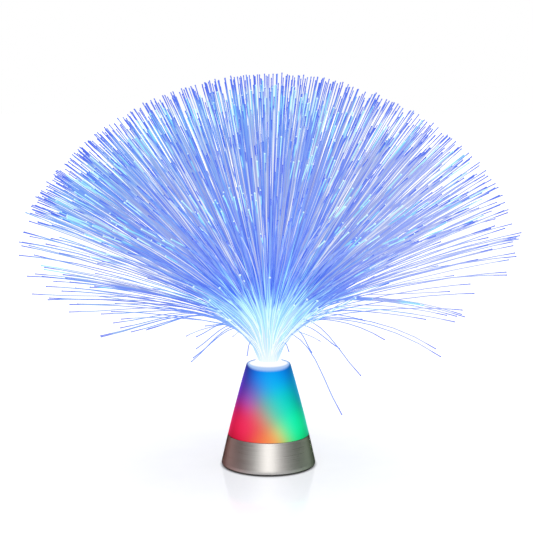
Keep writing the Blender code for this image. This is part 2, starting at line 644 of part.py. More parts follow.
def make_pan():
    """The bottom of the lamp: a floor disc with the battery bay, four screw wells, the switch's
    pocket and window, the board's posts and the pockets for the feet."""
    pan = cylinder("base_pan", FLOOR_RADIUS, PAN_LIFT, PAN_TOP, steps=HOUSING_STEPS)
    inside_floor = (PAN_LIFT + PAN_TOP) / 2
    join(pan, tool(tray("tray_outer", SEAT_GAP + BAY_WALL, BAY_OUTER_LENGTH, inside_floor)))
    for n, spot in enumerate(BOSS_PLACES):
        join(pan, tool(cylinder(f"well_{n}", WELL_RADIUS, inside_floor, WELL_TOP, spot)))
    for n, spot in enumerate(BOARD_SCREW_PLACES):
        post = cylinder(f"post_{n}", BOARD_POST_RADIUS, BAY_TOP - BAY_WALL / 2,
                        BAY_TOP + BOARD_POST_HEIGHT, spot)
        join(pan, tool(post))
    pocket_top = PAN_TOP + POCKET_HEIGHT
    middle = (0, SWITCH_PLACE_RADIUS)
    join(pan, tool(box(
        "pocket_outer",
        (-POCKET_HALF_LENGTH, SWITCH_PLACE_RADIUS - POCKET_HALF_WIDTH, inside_floor),
        (POCKET_HALF_LENGTH, SWITCH_PLACE_RADIUS + POCKET_HALF_WIDTH, pocket_top))))
    cut(pan, tool(box(
        "pocket_inner",
        (-SWITCH_LENGTH / 2 - SEAT_GAP, SWITCH_PLACE_RADIUS - SWITCH_WIDTH / 2 - SEAT_GAP, PAN_TOP),
        (SWITCH_LENGTH / 2 + SEAT_GAP, SWITCH_PLACE_RADIUS + SWITCH_WIDTH / 2 + SEAT_GAP,
         pocket_top + OVERRUN))))
    cut(pan, tool(centred_box(
        "switch_window", (*middle, PAN_TOP),
        (KNOB_LENGTH + SWITCH_TRAVEL + 2 * SLIDE_GAP, KNOB_WIDTH + 2 * SLIDE_GAP,
         2 * PAN_FLOOR + 2 * OVERRUN))))
    cut(pan, tool(tray("tray_inner", SEAT_GAP, BAY_HALF_LENGTH, PAN_LIFT - OVERRUN)))
    for n, spot in enumerate(BOSS_PLACES):
        cut(pan,
            tool(cylinder(f"well_bore_{n}", CASE_SCREW_HEAD_RADIUS + SEAT_GAP,
                          PAN_LIFT - OVERRUN, WELL_SEAT_HEIGHT, spot)),
            tool(cylinder(f"screw_hole_{n}", CASE_SCREW_RADIUS + SEAT_GAP,
                          WELL_SEAT_HEIGHT - OVERRUN, WELL_TOP + OVERRUN, spot)))
    for n, spot in enumerate(BOARD_SCREW_PLACES):
        cut(pan, tool(cylinder(
            f"post_hole_{n}", BOARD_SCREW_RADIUS + SEAT_GAP, BAY_TOP - BAY_WALL - OVERRUN,
            BAY_TOP + BOARD_POST_HEIGHT + OVERRUN, spot)))
    for n, (x, y) in enumerate(foot_places()):
        cut(pan, tool(cylinder(
            f"foot_pocket_{n}", FOOT_RADIUS + SEAT_GAP, PAN_LIFT - OVERRUN,
            PAN_LIFT + FOOT_POCKET, (x, y))))
    for n, (end, y) in enumerate(tab_places()):
        cut(pan, tool(centred_box(
            f"tab_slot_{n}", (end * PLATE_PLACE, y, BAY_TOP),
            (PLATE_THICKNESS + 2 * SEAT_GAP, TAB_WIDTH + 2 * SEAT_GAP, 2 * BAY_WALL + 2 * OVERRUN))))
    for n, y in enumerate(tongue_places()):
        cut(pan, tool(box(
            f"tongue_slot_{n}",
            (-BAY_HALF_LENGTH - TONGUE_NOTCH, y - TONGUE_WIDTH / 2 - SLIDE_GAP, PAN_LIFT - OVERRUN),
            (-BAY_HALF_LENGTH + OVERRUN, y + TONGUE_WIDTH / 2 + SLIDE_GAP,
             PAN_TOP + SEAT_GAP + TONGUE_THICKNESS + TONGUE_SWING_ROOM))))
    return smooth(place(pan, PAN_PLASTIC))


def foot_places():
    angles = [2 * math.pi * n / FOOT_COUNT for n in range(FOOT_COUNT)]
    return [(FOOT_CIRCLE_RADIUS * math.cos(a), FOOT_CIRCLE_RADIUS * math.sin(a)) for a in angles]


def tongue_places():
    return (-TONGUE_SPACING / 2, TONGUE_SPACING / 2)


def tab_places():
    """The two contacts with a solder tab: the end of the bay, -1 or 1, and the cell's Y."""
    return ((-1, -CELL_PITCH), (1, CELL_PITCH))


def make_feet():
    for n, spot in enumerate(foot_places()):
        foot = cylinder(f"foot_{n + 1}", FOOT_RADIUS, 0, PAN_LIFT + FOOT_POCKET - SEAT_GAP, spot)
        place(smooth(chamfer(foot, FOOT_CHAMFER)), RUBBER)


def screw(name, spot, head_bottom, head_radius, head_height, radius, length, up):
    """A pan-head screw from the height where its head begins. up is 1 if its point is above its head."""
    head_end = head_bottom + up * head_height
    point = head_end + up * length
    taper = point - up * radius
    profile = [
        (0, head_bottom),
        (SCREW_CROWN_SHARE * head_radius, head_bottom),
        (head_radius, (head_bottom + head_end) / 2),
        (head_radius, head_end),
        (radius, head_end),
        (radius, taper),
        (0, point),
    ]
    if up > 0:
        profile = profile[::-1]
    made = turned(name, profile, SMALL_STEPS, closed=False)
    made.location = (*spot, 0)
    return smooth(place(made, STEEL))


def make_screws():
    for n, spot in enumerate(BOSS_PLACES):
        screw(f"case_screw_{n + 1}", spot, WELL_SEAT_HEIGHT - SEAT_GAP - CASE_SCREW_HEAD_HEIGHT,
              CASE_SCREW_HEAD_RADIUS, CASE_SCREW_HEAD_HEIGHT, CASE_SCREW_RADIUS, CASE_SCREW_LENGTH, 1)
    for n, spot in enumerate(BOARD_SCREW_PLACES):
        screw(f"board_screw_{n + 1}", spot, BOARD_TOP + SEAT_GAP + BOARD_SCREW_HEAD_HEIGHT,
              BOARD_SCREW_HEAD_RADIUS, BOARD_SCREW_HEAD_HEIGHT, BOARD_SCREW_RADIUS,
              BOARD_SCREW_LENGTH, -1)


def cell_places():
    """Each cell's Y and the end that its nub points to, which alternates so that they run in series."""
    first = -(CELL_COUNT - 1) / 2
    return [((first + n) * CELL_PITCH, -1 if n % 2 == 0 else 1) for n in range(CELL_COUNT)]


def make_cells():
    """Three cells, each with its nub a seat gap from its plate and its flat end on its spring."""
    nub_tip = PLATE_INNER - SEAT_GAP
    shoulder = nub_tip - NUB_HEIGHT
    flat_end = nub_tip - CELL_LENGTH
    profile = [
        (0, nub_tip),
        (NUB_RADIUS, nub_tip),
        (NUB_RADIUS, shoulder),
        (CELL_RADIUS - CELL_EDGE_RADIUS, shoulder),
        (CELL_RADIUS, shoulder - CELL_EDGE_RADIUS),
        (CELL_RADIUS, flat_end + CELL_EDGE_RADIUS),
        (CELL_RADIUS - CELL_EDGE_RADIUS, flat_end),
        (0, flat_end),
    ]
    for n, (y, end) in enumerate(cell_places()):
        cell = turned(f"cell_{n + 1}", profile, CELL_STEPS, closed=False)
        cell.rotation_euler = (0, end * math.pi / 2, 0)
        cell.location = (0, y, CELL_AXIS)
        smooth(place(cell, CELL_JACKET))


def coil(wire, start_radius, end_radius, length, turns):
    """Points of a conical coil round Z, rising from 0. Its least gap to itself is returned too."""
    count = turns * CURL_POINTS + 1
    points = []
    for i in range(count):
        share = i / (count - 1)
        angle = 2 * math.pi * turns * share
        radius = start_radius + (end_radius - start_radius) * share
        height = wire + (length - 2 * wire) * share
        points.append((radius * math.cos(angle), radius * math.sin(angle), height))
    gap = min(
        math.dist(points[i], points[j]) - 2 * wire
        for i in range(count)
        for j in range(i + CURL_POINTS // 2, count)
    )
    return points, gap


def make_springs():
    """A conical spring behind each cell's flat end, its wide turn on the plate."""
    points, gap = coil(
        SPRING_WIRE_RADIUS, SPRING_LARGE_RADIUS, SPRING_SMALL_RADIUS, SPRING_LENGTH, SPRING_TURNS)
    print(f"least gap in a battery spring: {gap / MM:.2f} mm")
    for n, (y, end) in enumerate(cell_places()):
        spring = as_mesh(tube(f"spring_{n + 1}", [points], SPRING_WIRE_RADIUS))
        # The coil's Z runs from its plate towards the cell, which is along end.
        spring.rotation_euler = (0, end * math.pi / 2, 0)
        spring.location = (-end * (PLATE_INNER - SEAT_GAP), y, CELL_AXIS)
        smooth(place(spring, SPRING_STEEL))


def contact(name, end, y_low, y_high, tab_y=None):
    """A contact plate at one end of the bay, across one cell or two, with an upright solder tab or none."""
    low = CELL_AXIS - PLATE_HEIGHT / 2
    top = CELL_AXIS + PLATE_HEIGHT / 2
    x = end * PLATE_PLACE
    half = PLATE_THICKNESS / 2
    plate = box(name, (x - half, y_low - PLATE_WIDTH / 2, low), (x + half, y_high + PLATE_WIDTH / 2, top))
    if tab_y is not None:
        tab = box(f"{name}_tab", (x - half, tab_y - TAB_WIDTH / 2, CELL_AXIS),
                  (x + half, tab_y + TAB_WIDTH / 2, TAB_TOP))
        join(plate, tool(tab))
    return place(plate, SPRING_STEEL)


def make_contacts():
    """Four plates that put the cells in series: a single one at each end of the chain, and two links."""
    contact("contact_positive", -1, -CELL_PITCH, -CELL_PITCH, -CELL_PITCH)
    contact("contact_negative", 1, CELL_PITCH, CELL_PITCH, CELL_PITCH)
    contact("link_left", -1, 0, CELL_PITCH)
    contact("link_right", 1, -CELL_PITCH, 0)


def make_door():
    """The battery door: a plate flush with the pan, two tongues that it turns on, a springy tab
    with a finger ridge at the other end, and grip ribs."""
    half_length = BAY_HALF_LENGTH - SLIDE_GAP
    half_width = BAY_HALF_WIDTH - SLIDE_GAP
    door = box("battery_door", (-half_length, -half_width, PAN_LIFT), (half_length, half_width, DOOR_TOP))
    hinge = -BAY_HALF_LENGTH - TONGUE_NOTCH + SLIDE_GAP
    tongue_bottom = PAN_TOP + SEAT_GAP
    tongue_top = tongue_bottom + TONGUE_THICKNESS
    for n, y in enumerate(tongue_places()):
        low, high = y - TONGUE_WIDTH / 2, y + TONGUE_WIDTH / 2
        join(door,
             tool(box(f"tongue_root_{n}", (hinge, low, PAN_LIFT), (OVERRUN - half_length, high, DOOR_TOP))),
             tool(box(f"tongue_riser_{n}", (hinge, low, (PAN_LIFT + DOOR_TOP) / 2),
                      (hinge + TONGUE_THICKNESS, high, tongue_top))),
             tool(box(f"tongue_{n}", (hinge - TONGUE_LENGTH, low, tongue_bottom),
                      (hinge + TONGUE_THICKNESS / 2, high, tongue_top))))
    for n, side in enumerate((-1, 1)):
        middle = side * (LATCH_WIDTH + LATCH_SLOT) / 2
        cut(door, tool(box(f"latch_slot_{n}",
                           (half_length - LATCH_LENGTH, middle - LATCH_SLOT / 2, PAN_LIFT - OVERRUN),
                           (half_length + OVERRUN, middle + LATCH_SLOT / 2, DOOR_TOP + OVERRUN))))
    ridge_middle = PAN_LIFT + DOOR_THICKNESS / 2
    join(door, tool(box("latch_ridge",
                        (half_length - LATCH_RIDGE, -LATCH_WIDTH / 4, ridge_middle - LATCH_RIDGE_HEIGHT / 2),
                        (half_length + LATCH_RIDGE, LATCH_WIDTH / 4, ridge_middle + LATCH_RIDGE_HEIGHT / 2))))
    first = half_length - LATCH_LENGTH - DOOR_RIB_PITCH
    for n in range(DOOR_RIB_COUNT):
        x = first - n * DOOR_RIB_PITCH
        cut(door, tool(box(f"grip_{n}",
                           (x - DOOR_RIB_WIDTH / 2, -DOOR_RIB_LENGTH / 2, PAN_LIFT - OVERRUN),
                           (x + DOOR_RIB_WIDTH / 2, DOOR_RIB_LENGTH / 2, PAN_LIFT + DOOR_RIB_DEPTH))))
    set_origin(door, (hinge, 0, PAN_LIFT))
    return place(door, PAN_PLASTIC)


def make_switch():
    """A slide switch: a metal case with a slot for its lever and three pins, and the knob in it."""
    y = SWITCH_PLACE_RADIUS
    case = centred_box("switch_case", (0, y, (SWITCH_BOTTOM + SWITCH_TOP) / 2),
                       (SWITCH_LENGTH, SWITCH_WIDTH, SWITCH_HEIGHT))
    chamfer(case, SWITCH_CORNER)
    slot_top = SWITCH_BOTTOM + SWITCH_SLOT_DEPTH
    reach = (KNOB_LENGTH + SWITCH_TRAVEL) / 2 + SLIDE_GAP
    side = KNOB_WIDTH / 2 + SLIDE_GAP
    cut(case, tool(box(
        "lever_slot", (-reach, y - side, SWITCH_BOTTOM - OVERRUN), (reach, y + side, slot_top))))
    for n, x in enumerate(pin_places()):
        join(case, tool(box(
            f"pin_{n}",
            (x - PIN_WIDTH / 2, y - PIN_THICKNESS / 2, SWITCH_TOP - SWITCH_CORNER),
            (x + PIN_WIDTH / 2, y + PIN_THICKNESS / 2, SWITCH_TOP + PIN_HEIGHT))))
    place(case, SWITCH_METAL)
    x = -SWITCH_TRAVEL / 2
    knob = box("switch_knob", (x - KNOB_LENGTH / 2, y - KNOB_WIDTH / 2, KNOB_LIFT),
               (x + KNOB_LENGTH / 2, y + KNOB_WIDTH / 2, slot_top - SEAT_GAP))
    chamfer(knob, KNOB_CHAMFER)
    for n in range(KNOB_GROOVE_COUNT):
        middle = x + (n - (KNOB_GROOVE_COUNT - 1) / 2) * KNOB_GROOVE_PITCH
        cut(knob, tool(box(
            f"groove_{n}",
            (middle - KNOB_GROOVE / 2, y - KNOB_WIDTH / 2 - OVERRUN, KNOB_LIFT - OVERRUN),
            (middle + KNOB_GROOVE / 2, y + KNOB_WIDTH / 2 + OVERRUN, KNOB_LIFT + KNOB_GROOVE))))
    set_origin(knob, (x, y, SWITCH_BOTTOM))
    place(knob, KNOB_PLASTIC)


def pin_places():
    return [(n - (PIN_COUNT - 1) / 2) * PIN_PITCH for n in range(PIN_COUNT)]


def make_board():
    """The round light board on its two posts."""
    board = cylinder("led_board", BOARD_RADIUS, BOARD_BOTTOM, BOARD_TOP, steps=TUBE_STEPS)
    for n, spot in enumerate(BOARD_SCREW_PLACES):
        cut(board, tool(cylinder(
            f"board_hole_{n}", BOARD_SCREW_RADIUS + SEAT_GAP, BOARD_BOTTOM - OVERRUN,
            BOARD_TOP + OVERRUN, spot)))
    return smooth(place(board, BOARD_GREEN))


def led(name, spot, radius, flange_radius, flange_height, height, material):
    """A light with a domed lens and a flange at its foot, standing on the board."""
    foot = BOARD_TOP + SEAT_GAP
    top = foot + height
    profile = [(0, top)] + arc((0, top - radius), radius, math.pi / 2, 0)[1:]
    profile += [(radius, foot + flange_height), (flange_radius, foot + flange_height),
                (flange_radius, foot), (0, foot)]
    made = turned(name, profile, SMALL_STEPS, closed=False)
    made.location = (*spot, 0)
    return smooth(place(made, material))


def make_leds():
    lenses = {"led_red": RED_LENS, "led_green": GREEN_LENS, "led_blue": BLUE_LENS}
    for name, angle in LED_ANGLES.items():
        spot = (LED_CIRCLE_RADIUS * math.cos(angle), LED_CIRCLE_RADIUS * math.sin(angle))
        led(name, spot, LED_RADIUS, LED_FLANGE_RADIUS, LED_FLANGE_HEIGHT, LED_HEIGHT, lenses[name])
    led("led_spray", (0, 0), SPRAY_LED_RADIUS, SPRAY_LED_FLANGE_RADIUS, SPRAY_LED_FLANGE_HEIGHT,
        SPRAY_LED_HEIGHT, WHITE_LENS)


def catmull(points, spacing):
    """Points about this far apart on a smooth curve through the route's own points."""
    ends = [points[0]] + points + [points[-1]]
    made = []
    for p0, p1, p2, p3 in zip(ends, ends[1:], ends[2:], ends[3:]):
        p0, p1, p2, p3 = map(Vector, (p0, p1, p2, p3))
        count = max(1, round((p2 - p1).length / spacing))
        for i in range(count):
            t = i / count
            made.append(0.5 * (2 * p1 + (p2 - p0) * t + (2 * p0 - 5 * p1 + 4 * p2 - p3) * t * t
                               + (3 * p1 - p0 - 3 * p2 + p3) * t ** 3))
    return made + [Vector(points[-1])]


def wire(name, route, material):
    made = as_mesh(tube(name, [catmull(route, WIRE_SPACING)], WIRE_RADIUS))
    return smooth(place(made, material), math.pi)


def make_wires():
    """Battery plus to the switch, the switch to the board, and battery minus to the board."""
    under_board = (BAY_TOP + BOARD_BOTTOM) / 2
    tab_inner = PLATE_PLACE - PLATE_THICKNESS / 2 - SEAT_GAP
    pin_top = SWITCH_TOP + PIN_HEIGHT + SEAT_GAP
    solder = BOARD_TOP + SEAT_GAP
    first_pin, common_pin = pin_places()[0], pin_places()[1]
    pin_y = SWITCH_PLACE_RADIUS
    post_x, post_y = BOARD_SCREW_PLACES[1]
    beside_post = post_x - BOARD_POST_RADIUS - 3 * WIRE_RADIUS
    wire("wire_red", [
        (-tab_inner, -CELL_PITCH, under_board),
        (-0.80 * tab_inner, -0.85 * CELL_PITCH, under_board),
        (-post_x, 0, under_board),
        (-beside_post, post_y, under_board),
        (first_pin - PIN_PITCH / 2, CELL_PITCH + 0.8 * CELL_RADIUS, under_board - WIRE_RADIUS),
        (first_pin, pin_y - PIN_WIDTH, pin_top + 2 * PIN_HEIGHT),
        (first_pin, pin_y, pin_top),
    ], RED_WIRE)
    wire("wire_white", [
        (common_pin, pin_y, pin_top),
        (common_pin, pin_y + PIN_WIDTH, pin_top + 2 * PIN_HEIGHT),
        (common_pin, BOARD_RADIUS + 2 * WIRE_RADIUS, BOARD_TOP),
        (common_pin, BOARD_RADIUS - WIRE_RADIUS, BOARD_TOP + 4 * WIRE_RADIUS),
        (common_pin, BOARD_RADIUS - 5 * WIRE_RADIUS, solder + WIRE_RADIUS),
    ], WHITE_WIRE)
    start = Vector((tab_inner, CELL_PITCH))
    outward = start.normalized()
    beside = (BOARD_RADIUS + 2 * WIRE_RADIUS) * outward
    over = (BOARD_RADIUS - WIRE_RADIUS) * outward
    landing = (BOARD_RADIUS - 5 * WIRE_RADIUS) * outward
    wire("wire_black", [
        (*start, BAY_TOP + SEAT_GAP + WIRE_RADIUS),
        (*beside, BOARD_BOTTOM),
        (*beside, BOARD_TOP + WIRE_RADIUS),
        (*over, BOARD_TOP + 4 * WIRE_RADIUS),
        (*landing, solder + WIRE_RADIUS),
    ], BLACK_WIRE)


def scatter(number, salt):
    """A repeatable value from -1 to 1 for the fiber with this number."""
    return 2 * ((math.sin(number * 12.9898 + salt * 78.233) * 43758.5453) % 1) - 1


def ring_bounds(ring):
    """Inner and outer radius of a ring of tufts. The tufts are all alike in area."""
    total = sum(TUFT_RINGS)
    inside = sum(TUFT_RINGS[:ring])
    outside = inside + TUFT_RINGS[ring]
    return BUNDLE_RADIUS * math.sqrt(inside / total), BUNDLE_RADIUS * math.sqrt(outside / total)


def is_rim(ring):
    return ring == len(TUFT_RINGS) - 1


def slice_outline(ring, middle, half_angle):
    """Outline of one tuft's slice of the potted bundle: a disc at the centre, a ring segment round it."""
    inner, outer = ring_bounds(ring)
    gap = SEAT_GAP / 2
    if ring == 0:
        return arc((0, 0), outer - gap, 0, 2 * math.pi, SMALL_STEPS + 1)[:-1]
    rim = outer if is_rim(ring) else outer - gap
    core = inner + gap
    rim_angle = half_angle - gap / rim
    core_angle = half_angle - gap / core
    return (arc((0, 0), rim, middle - rim_angle, middle + rim_angle)
            + arc((0, 0), core, middle + core_angle, middle - core_angle))


def fiber_roots(ring, half_angle):
    """Where a tuft's fibers leave it and where they head. For each one: its distance from the axis, and
    the angles from the tuft's middle that it stands at and heads to. The headings fill the whole circle."""
    inner, outer = ring_bounds(ring)
    if ring == 0:
        golden = math.pi * (3 - math.sqrt(5))
        reach = outer - FIBER_EDGE_MARGIN
        radii = [reach * math.sqrt((n + 0.5) / FIBERS_PER_TUFT) for n in range(FIBERS_PER_TUFT)]
        return [(radius, n * golden, n * golden) for n, radius in enumerate(radii)]
    columns = FIBERS_PER_TUFT // FIBER_ROWS
    low = inner + FIBER_EDGE_MARGIN
    high = outer - (FIBER_RIM_MARGIN if is_rim(ring) else FIBER_EDGE_MARGIN)
    roots = []
    for row in range(FIBER_ROWS):
        radius = math.sqrt(low ** 2 + (high ** 2 - low ** 2) * row / (FIBER_ROWS - 1))
        usable = half_angle - FIBER_EDGE_MARGIN / radius
        pitch = 2 * usable / (columns - 1 + 2 * STAGGER_SHARE)
        shift = STAGGER_SHARE if row % 2 else -STAGGER_SHARE
        for column in range(columns):
            place_in_row = column - (columns - 1) / 2 + shift
            roots.append((radius, pitch * place_in_row, 2 * half_angle / columns * place_in_row))
    return roots


def rim_share(radius):
    """How far out in the bundle a fiber stands: 0 on the axis and 1 in the outer row."""
    return radius / (BUNDLE_RADIUS - FIBER_RIM_MARGIN)


def fiber_leans(radius, azimuth, number):
    """A fiber's angles from upright: the one it leaves the bundle at, the one it bends over to, and how
    far it hangs over beyond that. The dome is a little lower on the left. The fibers of the outer row
    hang over by chance, all but those in front."""
    share = rim_share(radius)
    dome = DOME_ANGLE - DOME_TILT * math.cos(azimuth)
    lean = math.acos(1 - share ** 2 * (1 - math.cos(dome)))
    if share > 0.99:
        frontness = max(0.0, -math.sin(azimuth)) ** 2
        return START_LEAN * share, lean, LOW_SPREAD * (1 - frontness) * scatter(number, 3) ** 2
    return START_LEAN * share, lean + LEAN_SCATTER * share * scatter(number, 4), 0.0


def fiber_length(lean, number):
    """The fibers that lean out furthest are the shorter ones."""
    trim = LOW_TRIM_SHARE * max(0.0, lean - SHOULDER_ANGLE) ** 2
    return FIBER_LENGTH * (1 - trim - LENGTH_SCATTER_SHARE * (1 + scatter(number, 1)) / 2)


def fiber_line(root, azimuth, leans, length, bend_share, stations):
    """A fiber's points: its root inside the slice, then the stations. It bends over within the bend's
    share of its length, and hangs over after that."""
    start, lean, hang = leans
    track = [(0.0, 0.0)]
    step = 1 / FINE_STEPS
    for i in range(FINE_STEPS):
        share = (i + 0.5) * step
        angle = start + (lean - start) * (1 - math.exp(-(share / bend_share) ** BEND_POWER))
        late = min(1.0, max(0.0, (share - HANG_START_SHARE) / (HANG_END_SHARE - HANG_START_SHARE)))
        angle += hang * late * late * (3 - 2 * late)
        out, up = track[-1]
        track.append((out + length * step * math.sin(angle), up + length * step * math.cos(angle)))
    x, y = root
    points = [(x, y, BUNDLE_TOP - FIBER_ROOT_DEPTH)]
    for share in stations:
        low = min(int(share * FINE_STEPS), FINE_STEPS - 1)
        part = share * FINE_STEPS - low
        out, up = (a + (b - a) * part for a, b in zip(track[low], track[low + 1]))
        points.append((x + out * math.cos(azimuth), y + out * math.sin(azimuth), BUNDLE_TOP + up))
    return points


def tuft_lines(number, ring, place_in_ring, middle, half_angle):
    """The lines of all fibers in a tuft."""
    strays = {(tuft, column): rest for tuft, column, *rest in STRAYS}
    first_of_outer_row = FIBERS_PER_TUFT - FIBERS_PER_TUFT // FIBER_ROWS
    lines = []
    for k, (radius, offset, heading) in enumerate(fiber_roots(ring, half_angle)):
        count = number * FIBERS_PER_TUFT + k
        azimuth = middle + heading
        root = (radius * math.cos(middle + offset), radius * math.sin(middle + offset))
        swing = SWING_SCATTER * scatter(count, 2) * radius / BUNDLE_RADIUS
        start, lean, hang = fiber_leans(radius, azimuth, count)
        length = fiber_length(lean + hang, count)
        bend = BEND_SHARE
        stations = RIM_STATION_SHARES if is_rim(ring) else STATION_SHARES
        stray = strays.get((place_in_ring, k - first_of_outer_row))
        if is_rim(ring) and stray:
            lean, length_share, bend = stray
            hang = 0.0
            length = FIBER_LENGTH * length_share
            stations = STRAY_STATION_SHARES
        lines.append(fiber_line(root, azimuth + swing, (start, lean, hang), length, bend, stations))
    return lines


def make_tufts():
    """The light fibers, in tufts: one at the centre of the bundle and two rings round it. Each tuft is
    its slice of the potted bundle with its fibers fused to it."""
    section = tool(outline("fiber_section", arc((0, 0), FIBER_RADIUS, 2 * math.pi, 0, 4)[:-1], 0))
    section.data.fill_mode = "NONE"
    half_height = (BUNDLE_TOP - BUNDLE_BOTTOM) / 2
    lift = Matrix.Translation((0, 0, (BUNDLE_TOP + BUNDLE_BOTTOM) / 2))
    number = 0
    for ring, tufts in enumerate(TUFT_RINGS):
        half_angle = math.pi / tufts
        for n in range(tufts):
            number += 1
            middle = 2 * math.pi * n / tufts
            name = f"tuft_{number:02d}"
            lines = tuft_lines(number, ring, n, middle, half_angle)
            fibers = as_mesh(tube(f"{name}_fibers", lines, FIBER_RADIUS, section))
            part = as_mesh(outline(name, slice_outline(ring, middle, half_angle), half_height), lift)
            join(part, tool(fibers))
            place(part, FIBER_LIGHT)


def build():
    make_skirt()
    make_diffuser()
    make_socket()
    make_ferrule()
    make_pan()
    make_feet()
    make_screws()
    make_cells()
    make_springs()
    make_contacts()
    make_door()
    make_switch()
    make_board()
    make_leds()
    make_wires()
    make_tufts()


build()
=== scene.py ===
"""Looks of the fiber optic lamp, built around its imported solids.

Metres, +Z up, in the lamp's own frame: the origin on its axis at the level of the table, -Y to the front.
"""
import math
import random

import bmesh
import bpy
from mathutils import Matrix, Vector


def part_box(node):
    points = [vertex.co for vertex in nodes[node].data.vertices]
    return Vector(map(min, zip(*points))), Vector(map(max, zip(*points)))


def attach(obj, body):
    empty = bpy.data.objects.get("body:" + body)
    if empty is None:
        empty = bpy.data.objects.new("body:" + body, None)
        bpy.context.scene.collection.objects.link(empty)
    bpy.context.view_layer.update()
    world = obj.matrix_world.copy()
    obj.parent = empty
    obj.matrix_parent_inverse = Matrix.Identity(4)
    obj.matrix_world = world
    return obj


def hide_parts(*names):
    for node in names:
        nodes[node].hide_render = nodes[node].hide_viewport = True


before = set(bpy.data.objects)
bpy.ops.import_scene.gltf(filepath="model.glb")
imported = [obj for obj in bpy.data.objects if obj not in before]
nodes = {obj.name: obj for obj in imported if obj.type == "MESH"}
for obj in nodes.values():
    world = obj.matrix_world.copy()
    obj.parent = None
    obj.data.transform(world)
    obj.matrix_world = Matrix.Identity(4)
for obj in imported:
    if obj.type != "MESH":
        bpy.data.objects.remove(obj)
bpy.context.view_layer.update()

MM = 0.001

# The photograph's frame and the camera that matches its rings and its horizon
FRAME_PIXELS = 533
FOCAL_PIXELS = 1265.5
SENSOR = 36.0
CAMERA_PLACE = Vector((0, -1.100, 0.321))
CAMERA_AIM = Vector((0, 0, 0.1775))
AXIS_PIXEL = 268.5

# Floor, lifted by a little light of its own outside the lamp; under the lamp that light fades out, a painted
# shade
FLOOR_RADIUS = 30.0
FLOOR_SIDES = 96
FLOOR_DIFFUSE = 0.42
FLOOR_GRAIN = 0.01
FLOOR_LIFT = 0.69
FLOOR_SHADE_INNER = 40.0 * MM
FLOOR_SHADE_OUTER = 44.5 * MM
FLOOR_SHEEN = 0.19
FLOOR_SHEEN_INNER = 50.0 * MM
FLOOR_SHEEN_OUTER = 240.0 * MM
FLOOR_ROUGHNESS = 0.11

# Studio: its light all round and overhead, and how narrow and how bright each soft box is
STUDIO_DIM = 0.10
STUDIO_OVERHEAD = 1.9
TALL_BOX = (14.0, 2.6)
WIDE_BOX = (1.6, 0.75)
REAR_BOX = (40.0, 0.5)

# Housing
HOUSING_HEIGHT = 92.0 * MM
FLANK_BASE_RADIUS = 42.4 * MM
FLANK_TOP_RADIUS = 19.2 * MM
FLANK_BOW = 0.85 * MM
SKIRT_EDGE_RADIUS = 1.5 * MM
SKIRT_TOP_ROUND = 0.4 * MM
SKIRT_WALL = 1.6 * MM
LEDGE_BOTTOM = 3.9 * MM
LEDGE_THICKNESS = 1.4 * MM
LEDGE_WIDTH = 1.7 * MM
SKIRT_STEPS = 192
FLANK_RINGS = 10
TOP_ROUND_STEPS = 4
EDGE_STEPS = 6
BORE_STEPS = 4
SHARP_ANGLE = math.radians(40)

# Where the frosted cone glows: degrees from the front towards +X, height, spread and colour of each glow
CONE_GLOWS = (
    (-36, 40 * MM, 17 * MM, (2.05, 0.02, 0.1)),
    (40, 38 * MM, 15 * MM, (0.0, 2.2, 0.42)),
    (4, 85 * MM, 15 * MM, (0.0, 0.37, 2.8)),
    (-37, 65 * MM, 12 * MM, (0.12, 0.03, 0.42)),
    (22, 60 * MM, 17 * MM, (0.0, 1.0, 0.75)),
    (-2, 26 * MM, 13 * MM, (2.6, 0.2, 0.04)),
    (-104, 38 * MM, 17 * MM, (2.2, 0.0, 0.15)),
    (-112, 72 * MM, 17 * MM, (0.18, 0.04, 1.3)),
    (104, 38 * MM, 17 * MM, (0.02, 1.5, 0.8)),
    (112, 72 * MM, 18 * MM, (0.0, 0.58, 1.45)),
    (144, 37 * MM, 16 * MM, (0.1, 0.5, 2.6)),
    (-149, 37 * MM, 16 * MM, (2.2, 0.05, 2.0)),
    (174, 64 * MM, 18 * MM, (0.43, 0.25, 1.85)),
    (180, 86 * MM, 18 * MM, (0.0, 0.36, 2.3)),
)
# The white glow that floods the cone's mouth: its centre, its width and where its edge and its core fade
MOUTH_GLOW = Vector((0, -2.8, 91.0)) * MM
MOUTH_GLOW_SCALE = (0.95, 1.0, 1.0)
MOUTH_EDGE = (18.2 * MM, 17.0 * MM)
MOUTH_CORE = (16.9 * MM, 15.0 * MM)

# Potted bundle and its strands
BUNDLE_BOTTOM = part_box("tuft_01")[0].z
BUNDLE_TOP = 93.2 * MM
BUNDLE_RADIUS = 8.7 * MM
BUNDLE_GAP = 0.15 * MM
BUNDLE_BEVEL = 0.15 * MM
BUNDLE_BEVEL_STEPS = 2
BUNDLE_CENTRE = Vector((0, 0, BUNDLE_TOP))
TUFT_RINGS = (1, 6, 12)
CORE_SIDES = 24
SLICE_ARC_SHARES = (-1, -0.6, -0.2, 0.2, 0.6, 1)
STRANDS = 1820
STRAND_MARGIN = 0.35 * MM
ROOT_REACH = BUNDLE_RADIUS - STRAND_MARGIN
ROOT_HEIGHT = BUNDLE_TOP - 1.5 * MM
STRAND_ROOT_RADIUS = 0.22 * MM
STRAND_RADIUS = 0.43 * MM
STRAND_LENGTH = 253.0 * MM
STRAND_SIDES = 5
STRAND_LAYERS = ("along", "back", "tone", "glow", "cap", "outer")
STATIONS = (0.0, 0.03, 0.065, 0.105, 0.155, 0.22, 0.32, 0.46, 0.62, 0.80, 0.93, 1.0)
FINE_STEPS = 60
BEAD_RADIUS = 0.56 * MM
GLOW_BEAD_RADIUS = 0.78 * MM
SPARK_BEAD_RADIUS = 1.12 * MM
BEAD_LENGTH = 1.6 * MM
